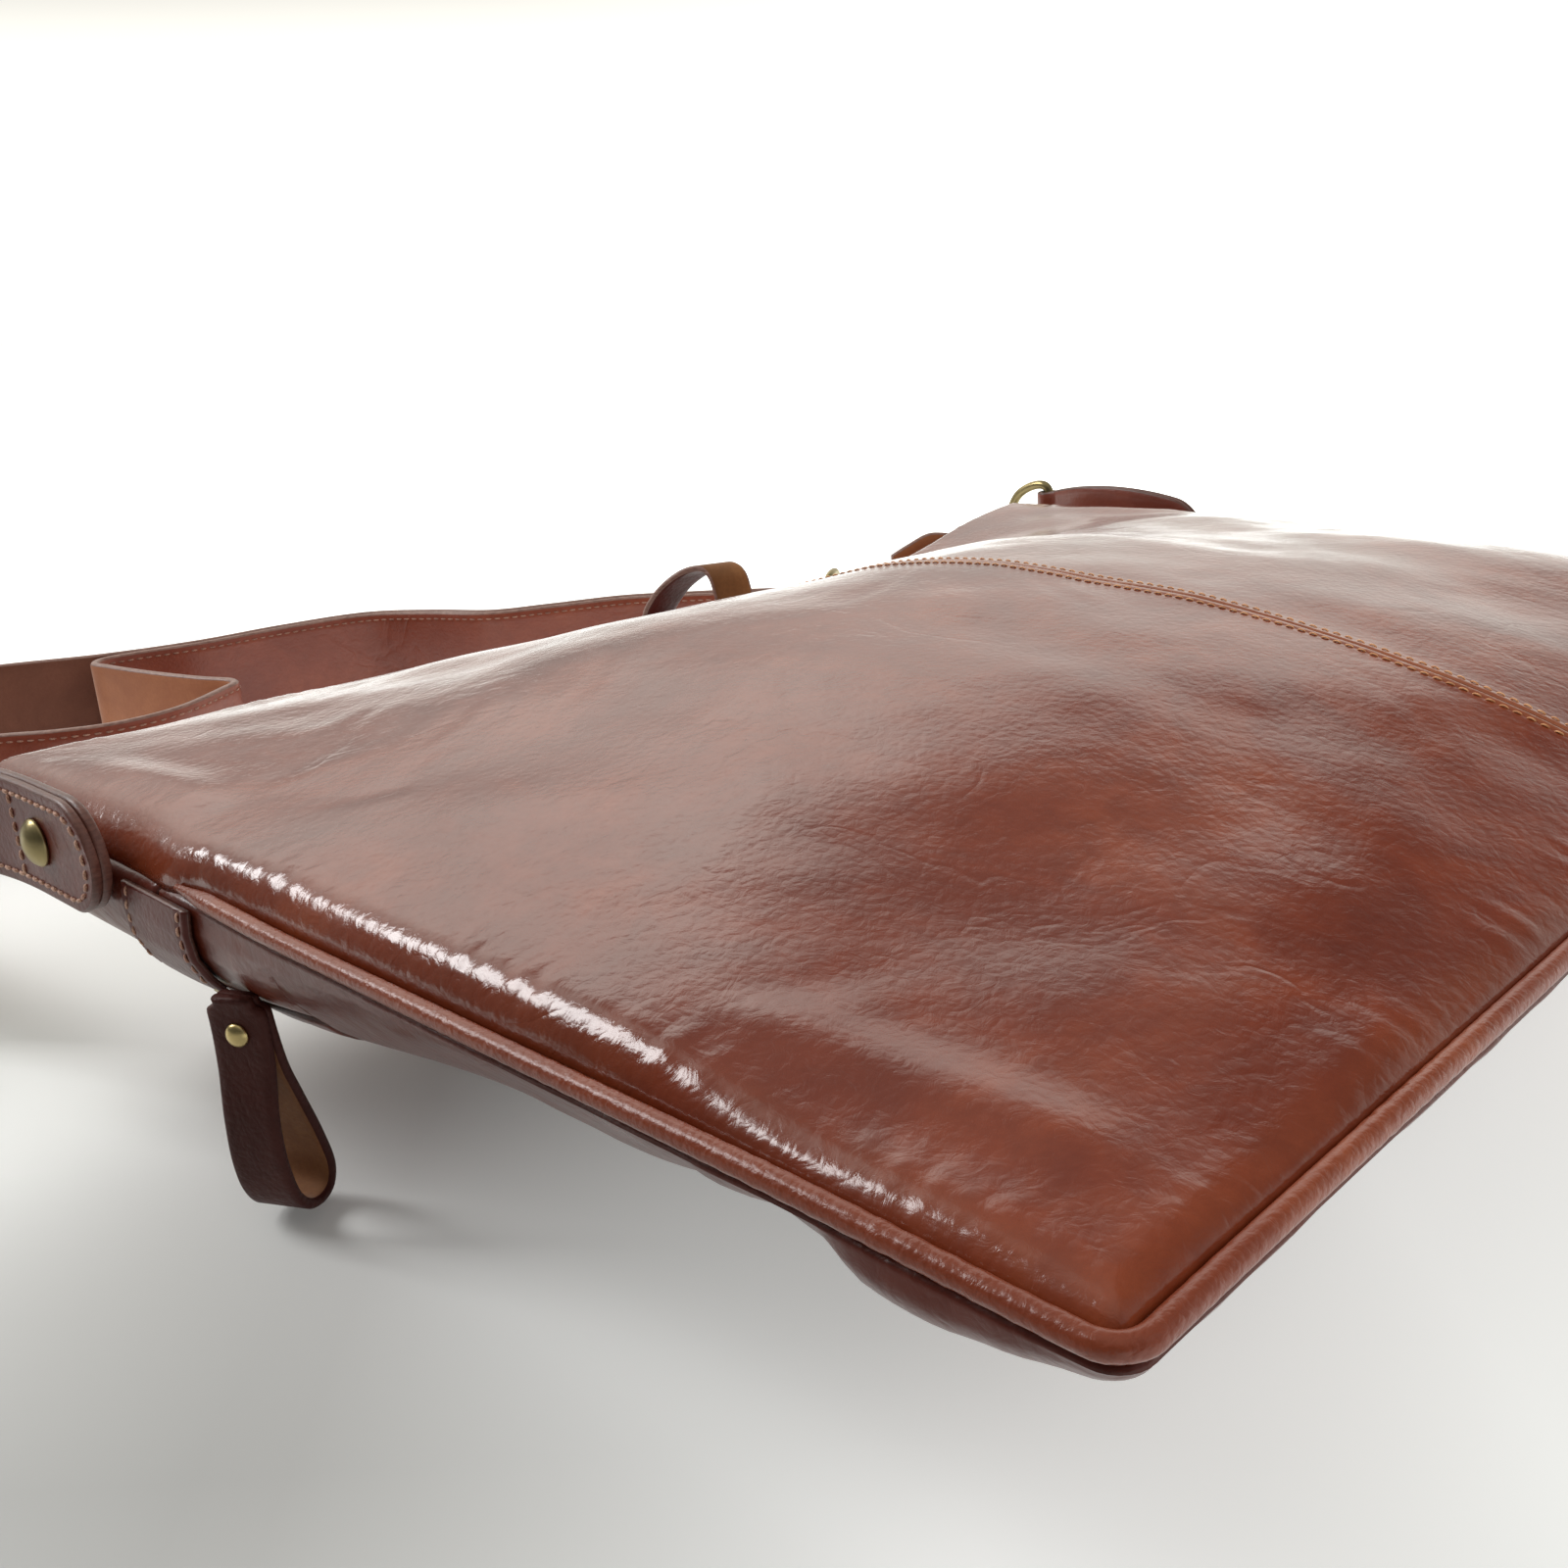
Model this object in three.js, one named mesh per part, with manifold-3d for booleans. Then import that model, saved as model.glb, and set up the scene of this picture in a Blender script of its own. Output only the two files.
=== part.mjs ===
// Soft leather laptop bag lying on its front, back panel up, shoulder strap
// laid on its edge behind the top. Millimetres, +Z up, X along the width,
// +Y towards the bag's top edge, origin in the middle of the resting face.
import * as THREE from 'three';
import Module from 'manifold-3d';

const wasm = await Module();
wasm.setup();

// ---------------------------------------------------------------- sizes
const WIDTH = 390, HEIGHT = 300.8;        // outline of the back panel's edge
const EDGE_Z = 66;                         // height of the piping above the surface
const CORNER_R = 5.5;                      // outline corner radius
const LEATHER = 1.8;                       // panel and gusset leather
const GAP = 0.35;                          // clearance between sewn pieces
const CROWN = 27;                          // back panel's swell over the piping
const CROWN_Y = 10;                        // where along Y the swell is highest
const PANEL_INSET = 3.8;                   // back panel's rim inside the outline
const PANEL_ROLL = 6.3;                    // height of the rolled side edge
const PIPING_R = 1.7;
const FRONT_INSET = 15.6;                  // gusset's front edge inside the outline
const FRONT_RIM = FRONT_INSET + 1.5;       // front panel's rim inside the outline
const ZIP_END_Y = 18;                      // zip's lower ends on both sides
const JOINT_Y = 57;                        // joint of upper and lower gusset
const TOP_SLIDER_X = 46;                   // second slider on the top edge
const GAPE = 12;                           // how far the undone zip hangs open
const SAG = 11.7;                          // how far the top edge sinks where the zip is undone
const TAB = { end: 69, bar: 139, height: 23, thick: 4, z: EDGE_Z + 1.3 };
const STRAP = { width: 36, thick: 3 };

const A = WIDTH / 2, B = HEIGHT / 2;

// ---------------------------------------------------------------- helpers
const clamp = (v, lo, hi) => Math.min(hi, Math.max(lo, v));
const smooth = (e0, e1, v) => { const t = clamp((v - e0) / (e1 - e0), 0, 1); return t * t * (3 - 2 * t); };
const lerp = (a, b, t) => a + (b - a) * t;
const sub = (a, b) => [a[0] - b[0], a[1] - b[1], a[2] - b[2]];
const add = (a, b, k = 1) => [a[0] + b[0] * k, a[1] + b[1] * k, a[2] + b[2] * k];
const cross = (a, b) => [a[1] * b[2] - a[2] * b[1], a[2] * b[0] - a[0] * b[2], a[0] * b[1] - a[1] * b[0]];
const unit = (a) => { const l = Math.hypot(...a) || 1; return [a[0] / l, a[1] / l, a[2] / l]; };

// Closed triangle mesh, turned so that its faces point out.
function solid(verts, tris) {
  let vol = 0;
  for (const [a, b, c] of tris) {
    const p = verts[a], q = cross(verts[b], verts[c]);
    vol += p[0] * q[0] + p[1] * q[1] + p[2] * q[2];
  }
  const index = [];
  for (const [a, b, c] of tris) index.push(a, vol < 0 ? c : b, vol < 0 ? b : c);
  const g = new THREE.BufferGeometry();
  g.setAttribute('position', new THREE.Float32BufferAttribute(verts.flat(), 3));
  g.setIndex(index);
  g.computeVertexNormals();
  return g;
}

// Sheet with two faces given as rows of points, closed along all its edges.
function sheet(outer, inner) {
  const n = outer.length, m = outer[0].length;
  const verts = [...outer.flat(), ...inner.flat()];
  const o = (i, j) => i * m + j, k = (i, j) => n * m + i * m + j;
  const tris = [];
  const quad = (a, b, c, d) => tris.push([a, b, c], [a, c, d]);
  for (let i = 0; i + 1 < n; i++) for (let j = 0; j + 1 < m; j++) {
    quad(o(i, j), o(i + 1, j), o(i + 1, j + 1), o(i, j + 1));
    quad(k(i, j), k(i, j + 1), k(i + 1, j + 1), k(i + 1, j));
  }
  for (let i = 0; i + 1 < n; i++) {
    quad(o(i, 0), k(i, 0), k(i + 1, 0), o(i + 1, 0));
    quad(o(i, m - 1), o(i + 1, m - 1), k(i + 1, m - 1), k(i, m - 1));
  }
  for (let j = 0; j + 1 < m; j++) {
    quad(o(0, j), o(0, j + 1), k(0, j + 1), k(0, j));
    quad(o(n - 1, j), k(n - 1, j), k(n - 1, j + 1), o(n - 1, j + 1));
  }
  return solid(verts, tris);
}

// Second face of a sheet: every point moved by t along the sheet's normal.
function offsetRows(rows, t) {
  const n = rows.length, m = rows[0].length;
  return rows.map((row, i) => row.map((p, j) => {
    const du = sub(rows[Math.min(i + 1, n - 1)][j], rows[Math.max(i - 1, 0)][j]);
    const dv = sub(rows[i][Math.min(j + 1, m - 1)], rows[i][Math.max(j - 1, 0)]);
    return add(p, unit(cross(du, dv)), t);
  }));
}

// Round wire or cord along points; radius may differ from point to point.
function tube(points, radius, sides, closed) {
  const n = points.length, verts = [], tris = [];
  const rad = (i) => (Array.isArray(radius) ? radius[i] : radius);
  const dir = (i) => unit(sub(points[closed ? (i + 1) % n : Math.min(i + 1, n - 1)], points[closed ? (i + n - 1) % n : Math.max(i - 1, 0)]));
  let up = unit(cross(dir(0), Math.abs(dir(0)[2]) < 0.8 ? [0, 0, 1] : [1, 0, 0]));
  for (let i = 0; i < n; i++) {
    const d = dir(i), k = up[0] * d[0] + up[1] * d[1] + up[2] * d[2];
    up = unit(add(up, d, -k));
    const side = cross(d, up);
    for (let s = 0; s < sides; s++) {
      const a = (s / sides) * Math.PI * 2;
      verts.push(add(add(points[i], up, Math.cos(a) * rad(i)), side, Math.sin(a) * rad(i)));
    }
  }
  // A closed run returns with its frame turned: the last ring joins the first at the nearest corner.
  let shift = 0;
  if (closed) {
    let best = Infinity;
    for (let s = 0; s < sides; s++) {
      const d = Math.hypot(...sub(verts[(n - 1) * sides], add(verts[s], sub(points[n - 1], points[0]))));
      if (d < best) { best = d; shift = s; }
    }
  }
  for (let i = 0; i + 1 < n || (closed && i < n); i++) for (let s = 0; s < sides; s++) {
    const last = i === n - 1, j = last ? 0 : i + 1, o = last ? shift : 0;
    const a = i * sides + s, b = i * sides + (s + 1) % sides;
    const c = j * sides + (s + 1 + o) % sides, d = j * sides + (s + o) % sides;
    tris.push([a, b, c], [a, c, d]);
  }
  if (!closed) {
    for (const [i, flip] of [[0, true], [n - 1, false]]) {
      const c = verts.push(points[i]) - 1;
      for (let s = 0; s < sides; s++) {
        const a = i * sides + s, b = i * sides + (s + 1) % sides;
        tris.push(flip ? [c, b, a] : [c, a, b]);
      }
    }
  }
  return solid(verts, tris);
}

// Smooth run of points through the given ones.
function through(points, count, closed = false) {
  const c = new THREE.CatmullRomCurve3(points.map((p) => new THREE.Vector3(...p)), closed, 'centripetal');
  const list = c.getSpacedPoints(count).map((p) => [p.x, p.y, p.z]);
  if (closed) list.pop();
  return list;
}

function toManifold(geometry) {
  const g = geometry.index ? geometry.toNonIndexed() : geometry;
  const pos = g.getAttribute('position'), map = new Map(), vp = [], tv = [];
  for (let i = 0; i < pos.count; i++) {
    const p = [pos.getX(i), pos.getY(i), pos.getZ(i)];
    const key = p.map((v) => Math.round(v * 1e4)).join(',');
    if (!map.has(key)) { map.set(key, vp.length / 3); vp.push(...p); }
    tv.push(map.get(key));
  }
  const keep = [];
  for (let i = 0; i < tv.length; i += 3) if (tv[i] !== tv[i + 1] && tv[i + 1] !== tv[i + 2] && tv[i] !== tv[i + 2]) keep.push(tv[i], tv[i + 1], tv[i + 2]);
  return new wasm.Manifold(new wasm.Mesh({ numProp: 3, vertProperties: new Float32Array(vp), triVerts: new Uint32Array(keep) }));
}
function fromManifold(m) {
  const mesh = m.getMesh(), verts = [], tris = [];
  for (let i = 0; i < mesh.vertProperties.length; i += mesh.numProp) verts.push([mesh.vertProperties[i], mesh.vertProperties[i + 1], mesh.vertProperties[i + 2]]);
  for (let i = 0; i < mesh.triVerts.length; i += 3) tris.push([mesh.triVerts[i], mesh.triVerts[i + 1], mesh.triVerts[i + 2]]);
  return solid(verts, tris);
}

// Extruded outline set in space: origin, u axis, v axis; depth runs along u x v.
function slab(outline, holes, depth, origin, u, v) {
  const ordered = (list, clockwise) => {
    const v = list.map((p) => new THREE.Vector2(...p));
    return THREE.ShapeUtils.isClockWise(v) === clockwise ? v : v.reverse();
  };
  const shape = new THREE.Shape(ordered(outline, false));
  for (const h of holes) shape.holes.push(new THREE.Path(ordered(h, true)));
  const g = new THREE.ExtrudeGeometry(shape, { depth, bevelEnabled: false, curveSegments: 1 });
  const w = cross(u, v);
  const m = new THREE.Matrix4().makeBasis(new THREE.Vector3(...u), new THREE.Vector3(...v), new THREE.Vector3(...w));
  m.setPosition(...origin);
  g.applyMatrix4(m);
  return g;
}

// ---------------------------------------------------------------- outline
// Position on the rounded outline: q counts its stretches from the middle of
// the top edge: 0 top left, 1 arc, 2 left side, 3 arc, 4 bottom, 5 arc,
// 6 right side, 7 arc, 8 top right.
function onOutline(q, inset) {
  q = ((q % 9) + 9) % 9;
  const a = A - inset, b = B - inset, r = Math.max(CORNER_R - 0.42 * inset, 4.5);
  const seg = Math.floor(q), f = q - seg;
  const arc = (cx, cy, a0) => { const t = a0 + f * Math.PI / 2; return [cx + r * Math.cos(t), cy + r * Math.sin(t)]; };
  switch (seg) {
    case 0: return [lerp(0, -(a - r), f), b];
    case 1: return arc(-(a - r), b - r, Math.PI / 2);
    case 2: return [-a, lerp(b - r, -(b - r), f)];
    case 3: return arc(-(a - r), -(b - r), Math.PI);
    case 4: return [lerp(-(a - r), a - r, f), -b];
    case 5: return arc(a - r, -(b - r), -Math.PI / 2);
    case 6: return [a, lerp(-(b - r), b - r, f)];
    case 7: return arc(a - r, b - r, 0);
    default: return [lerp(a - r, 0, f), b];
  }
}
const leftQ = (y) => 2 + (B - CORNER_R - y) / (2 * (B - CORNER_R));
const rightQ = (y) => 6 + (y + B - CORNER_R) / (2 * (B - CORNER_R)) - 9;   // counted backwards from the top
const topRightQ = (x) => -x / (A - CORNER_R);
const ARC = CORNER_R * Math.PI / 2;
const LENGTH = [A - CORNER_R, ARC, 2 * (B - CORNER_R), ARC, 2 * (A - CORNER_R), ARC, 2 * (B - CORNER_R), ARC, A - CORNER_R];
function stations(q0, q1, step, extra = []) {
  const cuts = [q0, q1, ...extra];
  for (let q = Math.ceil(q0); q <= q1; q++) cuts.push(q);
  const list = [...new Set(cuts.filter((q) => q >= q0 && q <= q1))].sort((a, b) => a - b);
  const out = [];
  for (let i = 0; i + 1 < list.length; i++) {
    const seg = ((Math.floor((list[i] + list[i + 1]) / 2) % 9) + 9) % 9;
    const n = seg % 2 && seg < 8 ? Math.max(1, Math.round(4 * (list[i + 1] - list[i]))) : Math.max(1, Math.round((list[i + 1] - list[i]) * LENGTH[seg] / step));
    for (let k = 0; k < n; k++) out.push(lerp(list[i], list[i + 1], k / n));
  }
  out.push(list[list.length - 1]);
  return out;
}

// ---------------------------------------------------------------- gusset section
// Sections of the gusset from the back seam down to the front seam.
// inset: in from the outline; drop: below the piping.
const SECTION = [
  // upper: held out by the tabs; lower: fallen in; corner: a soft fold at the bottom corners
  { k: 0.00, upper: [1.0, 2.3], lower: [1.0, 2.75], corner: [1.0, 2.75] },
  { k: 0.20, upper: [0.4, 7.5], lower: [2.2, 5.0], corner: [0.9, 6.0] },
  { k: 0.40, upper: [0.8, 12.5], lower: [4.4, 8.2], corner: [2.4, 9.8] },
  { k: 0.55, upper: [2.6, 16.8], lower: [6.8, 11.0], corner: [5.0, 12.6] },
  { k: 0.66, upper: [5.0, 20.2], lower: [8.8, 13.2], corner: [7.6, 14.4] },
  { k: 0.84, upper: [10.0, 25.4], lower: [12.0, 16.8], corner: [11.6, 17.0] },
  { k: 1.00, upper: [FRONT_INSET, 30.0], lower: [FRONT_INSET, 20.0], corner: [FRONT_INSET, 20.0] },
];
// The undone half of the zip lets the front strip drop away.
const gape = (x, y) => smooth(TOP_SLIDER_X + 4, TOP_SLIDER_X + 60, x) * smooth(40, 120, y);
// Right of the middle the unheld top edge sinks, and the back panel with it;
// the sides give a little, and the bottom edge hangs between its corners.
const sag = (x, y) => {
  const held = smooth(-99, 20, x), u = Math.min(1, Math.abs(x) / A);
  const top = (SAG * held * (1 - smooth(91, 180, x)) + 0.85 * smooth(-150, -90, x) * (1 - held)) * smooth(20, 150, y);
  return top + 1.2 * smooth(60, 10, y) * u ** 6 + smooth(-95, -B, y) * (1.0 + 2.4 * (1 - u * u));
};
const upperShare = (y) => smooth(-45, 62, y);
const cornerShare = (x, y) => 0.3 * Math.exp(-(((y + 122) / 12) ** 2)) * Math.exp(-(((A - Math.abs(x)) / 14) ** 2));
function section(q, k) {
  const [x0, y0] = onOutline(q, 0);
  const up = upperShare(y0), co = cornerShare(x0, y0), ga = gape(x0, y0);
  let i = 0;
  while (i + 2 < SECTION.length && SECTION[i + 1].k <= k) i++;
  const s0 = SECTION[i], s1 = SECTION[i + 1], t = clamp((k - s0.k) / (s1.k - s0.k), 0, 1);
  const mix = (row, c) => lerp(lerp(row.lower[c], row.corner[c], co), row.upper[c], up);
  const low = sag(x0, y0), left = clamp(1 - k / 0.6, 0, 1);
  const inset = lerp(mix(s0, 0), mix(s1, 0), t) - 0.08 * low * Math.sin(Math.PI * left);
  const drop = lerp(mix(s0, 1), mix(s1, 1), t) + GAPE * ga * smooth(0.69, 0.80, k) + low * left;
  const [x, y] = onOutline(q, inset);
  return [x, y, EDGE_Z - drop];
}
const frontRimZ = (x, y) => EDGE_Z - GAP - lerp(20, 30, upperShare(y)) - GAPE * gape(x, y);
function gussetStrip(q0, q1, k0, k1, thick, step, rows, extra) {
  const outer = stations(q0, q1, step, extra).map((q) => {
    const a = typeof k0 === 'function' ? k0(q) : k0, b = typeof k1 === 'function' ? k1(q) : k1;
    return Array.from({ length: rows }, (_, j) => section(q, lerp(a, b, j / (rows - 1))));
  });
  // Wall laid on the inside, towards the middle of the bag.
  const one = offsetRows(outer, thick), mid = Math.floor(outer.length / 2), c = Math.floor(rows / 2);
  const inside = Math.hypot(one[mid][c][0], one[mid][c][1]) < Math.hypot(outer[mid][c][0], outer[mid][c][1]);
  return sheet(outer, inside ? one : offsetRows(outer, -thick));
}

// ---------------------------------------------------------------- panels
function rimDistance(x, y, a, b, r) {
  const qx = Math.abs(x) - (a - r), qy = Math.abs(y) - (b - r);
  return r - Math.hypot(Math.max(qx, 0), Math.max(qy, 0)) - Math.min(Math.max(qx, qy), 0);
}
// Main soft dents and swells of the back panel, read from its reflections.
const DENTS = [
  // x, y, radius along x, radius along y, height
  { x: -120, y: -96, rx: 60, ry: 26, h: -1.6 },
  { x: -60, y: -60, rx: 46, ry: 30, h: 1.3 },
  { x: -118, y: 12, rx: 40, ry: 30, h: -1.2 },
  { x: -70, y: 62, rx: 50, ry: 26, h: 1.2 },
  { x: -150, y: 78, rx: 30, ry: 40, h: -1.3 },
  { x: 40, y: -98, rx: 50, ry: 24, h: -1.3 },
  { x: 96, y: 20, rx: 44, ry: 60, h: -1.5 },
  { x: 130, y: -70, rx: 40, ry: 40, h: 1.2 },
  { x: 110, y: 90, rx: 46, ry: 26, h: -1.0 },
];
function backHeight(x, y) {
  const a = A - PANEL_INSET, b = B - PANEL_INSET;
  const u = clamp(Math.abs(x) / (A - 5), 0, 1);
  const v = clamp((y - CROWN_Y) / (y < CROWN_Y ? B - 2 + CROWN_Y : B - 5 - CROWN_Y), -1, 1);
  const dome = (1 - u ** 2.3) * (1 - v * v);
  // The rolled side edges flatten towards the bottom corners.
  const roll = PANEL_ROLL - (x < 0 ? 4.2 * smooth(-55, -108, y) : 5.0 * smooth(25, -70, y));
  const edge = roll * u ** 3 + 2.6 * Math.max(v, 0) ** 3 * (1 - u ** 3) + 0.8;
  let z = CROWN * dome + edge * (1 - dome);
  for (const d of DENTS) z += d.h * Math.exp(-(((x - d.x) / d.rx) ** 2) - ((y - d.y) / d.ry) ** 2) * smooth(0, 0.5, dome);
  const d = rimDistance(x, y, a, b, CORNER_R - PANEL_INSET + 1);
  const f = clamp(d / 6.5, 0, 1), rim = -1.0;
  return EDGE_Z - sag(x, y) + rim + (z - rim) * Math.sqrt(Math.max(0, 1 - (1 - f) ** 2));
}
function frontHeight(x, y) {
  const a = A - FRONT_RIM, b = B - FRONT_RIM;
  const u = clamp(Math.abs(x) / a, 0, 1), v = clamp(Math.abs(y) / b, 0, 1);
  const dome = (1 - u ** 2.2) * (1 - v ** 2.2), rim = frontRimZ(x, y);
  const low = rim - (rim + 10) * Math.pow(dome, 0.9);
  return Math.max(0, low);
}
const STEPS = [0, 0.6, 2.2, 5.6, 12, 26, 46, 74, 108];
// Grid of an outline with rounded corners: columns across X, rows along Y.
function panelGrid(a, b, r, xs, height) {
  const yd = [...STEPS, b];
  return xs.map((x) => {
    const dx = a - Math.abs(x);
    const h = dx < r ? b - r + Math.sqrt(Math.max(0, r * r - (r - dx) ** 2)) : b;
    const ys = [...yd.map((d) => -h + d * h / b), ...yd.slice(0, -1).reverse().map((d) => h - d * h / b)];
    return ys.map((y) => [x, y, height(x, y)]);
  });
}
function backHalf(side) {
  const a = A - PANEL_INSET, b = B - PANEL_INSET, r = CORNER_R - PANEL_INSET + 1;
  const seam = GAP / 2;
  const xs = [...[...STEPS, 152].map((d) => d - a), -30, -seam].map((x) => x * -side);
  const outer = panelGrid(a, b, r, xs, backHeight);
  const inner = offsetRows(outer, side < 0 ? -LEATHER : LEATHER);
  return sheet(outer, inner);
}
function frontPanel() {
  const a = A - FRONT_RIM, b = B - FRONT_RIM, r = 4.6;
  const d = [0, 4, 11, 22, 38, 60, 90, 130];
  const xs = [...d.map((v) => v - a), 0, ...d.map((v) => a - v).reverse()];
  const outer = panelGrid(a, b, r, xs, frontHeight);
  return sheet(outer, offsetRows(outer, LEATHER));
}

// ---------------------------------------------------------------- scene
const MATERIAL = {
  leather: { color: 0x7a3420, roughness: 0.32, metalness: 0 },
  maroon: { color: 0x5a2a26, roughness: 0.36, metalness: 0 },
  edge: { color: 0x86402a, roughness: 0.34, metalness: 0 },
  pull: { color: 0x46231c, roughness: 0.45, metalness: 0 },
  tape: { color: 0x2e1c18, roughness: 0.85, metalness: 0 },
  brass: { color: 0x8a7a4c, roughness: 0.35, metalness: 1 },
};
const bag = new THREE.Group();
function put(name, geometry, look) {
  const mesh = new THREE.Mesh(geometry, new THREE.MeshStandardMaterial(MATERIAL[look]));
  mesh.name = name;
  bag.add(mesh);
  return mesh;
}

// Body
put('back_panel_left', backHalf(1), 'leather');
put('back_panel_right', backHalf(-1), 'leather');
put('front_panel', frontPanel(), 'leather');

const K_BACK = 0.645, K_ZIP0 = 0.66, K_ZIP1 = 0.84, K_FRONT = 0.855;
const zipL = leftQ(ZIP_END_Y), zipR = rightQ(ZIP_END_Y), jointL = leftQ(JOINT_Y), jointR = rightQ(JOINT_Y);
const NIB = 0.3 / (2 * (B - CORNER_R));
{
  // Lower gusset: full depth below the zip's ends, the back strip only beside the zip.
  const full = (q) => (q < zipL + NIB || q > zipR + 9 - NIB ? K_BACK : 1);
  put('gusset_lower', gussetStrip(jointL + NIB, jointR + 9 - NIB, 0, full, LEATHER, 24, 6, [zipL, zipL + 2 * NIB, zipR + 9 - 2 * NIB, zipR + 9]), 'leather');
  put('gusset_top_back', gussetStrip(jointR + NIB, jointL - NIB, 0, K_BACK, LEATHER, 22, 4, []), 'leather');
  put('gusset_top_front', gussetStrip(zipR + 3 * NIB, zipL - 3 * NIB, K_FRONT, 1, LEATHER, 22, 2, []), 'leather');
  const turn = topRightQ(TOP_SLIDER_X);
  put('zip_closed', gussetStrip(turn, zipL - 3 * NIB, K_ZIP0, K_ZIP1, 1.2, 22, 3, []), 'tape');
  put('zip_open_back', gussetStrip(zipR + 3 * NIB, turn - 3 * NIB, K_ZIP0, K_ZIP0 + 0.035, 1.2, 22, 2, []), 'tape');
  put('zip_open_front', gussetStrip(zipR + 3 * NIB, turn - 3 * NIB, K_ZIP1 - 0.045, K_ZIP1, 1.2, 22, 2, []), 'tape');
}

// Piping round the lower sides and the bottom, thinning out at its two ends.
{
  const q0 = leftQ(50), q1 = rightQ(50) + 9;
  const st = stations(q0, q1, 24, [leftQ(44), leftQ(36), rightQ(36) + 9, rightQ(44) + 9]);
  const pts = st.map((q) => { const [x, y] = onOutline(q, 1.6); return [x, y, EDGE_Z - sag(...onOutline(q, 0))]; });
  const rad = pts.map((p) => lerp(0.7, PIPING_R, smooth(50, 38, p[1])));
  put('piping', tube(pts, rad, 6, false), 'edge');
}

// Patches over the gusset joints
for (const [name, side] of [['end_patch_left', -1], ['end_patch_right', 1]]) {
  const rows = [70, 63, 56, 50, 44].map((y) => [0.02, 0.14, 0.27, 0.40, 0.50, 0.58, 0.63].map((k) => {
    const p = section(leftQ(y), k), t = section(leftQ(y), k + 0.02), s = section(leftQ(y), Math.max(0, k - 0.02));
    const n = unit([t[2] - s[2], 0, -(t[0] - s[0])]);
    const lift = add(p, n, GAP);
    return [[lift[0] * -side, lift[1], lift[2]], [add(lift, n, 1.4)[0] * -side, lift[1], add(lift, n, 1.4)[2]]];
  }));
  put(name, sheet(rows.map((r) => r.map((p) => p[1])), rows.map((r) => r.map((p) => p[0]))), 'maroon');
}

// Corner tabs, lying over the patches, with studs, D-rings and the links to the strap
const tabX = (y) => A + 1.75 + 9.0 * smooth(92, 150, y) * (y - 92) / 50;   // inner face, flaring out to the ring
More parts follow.
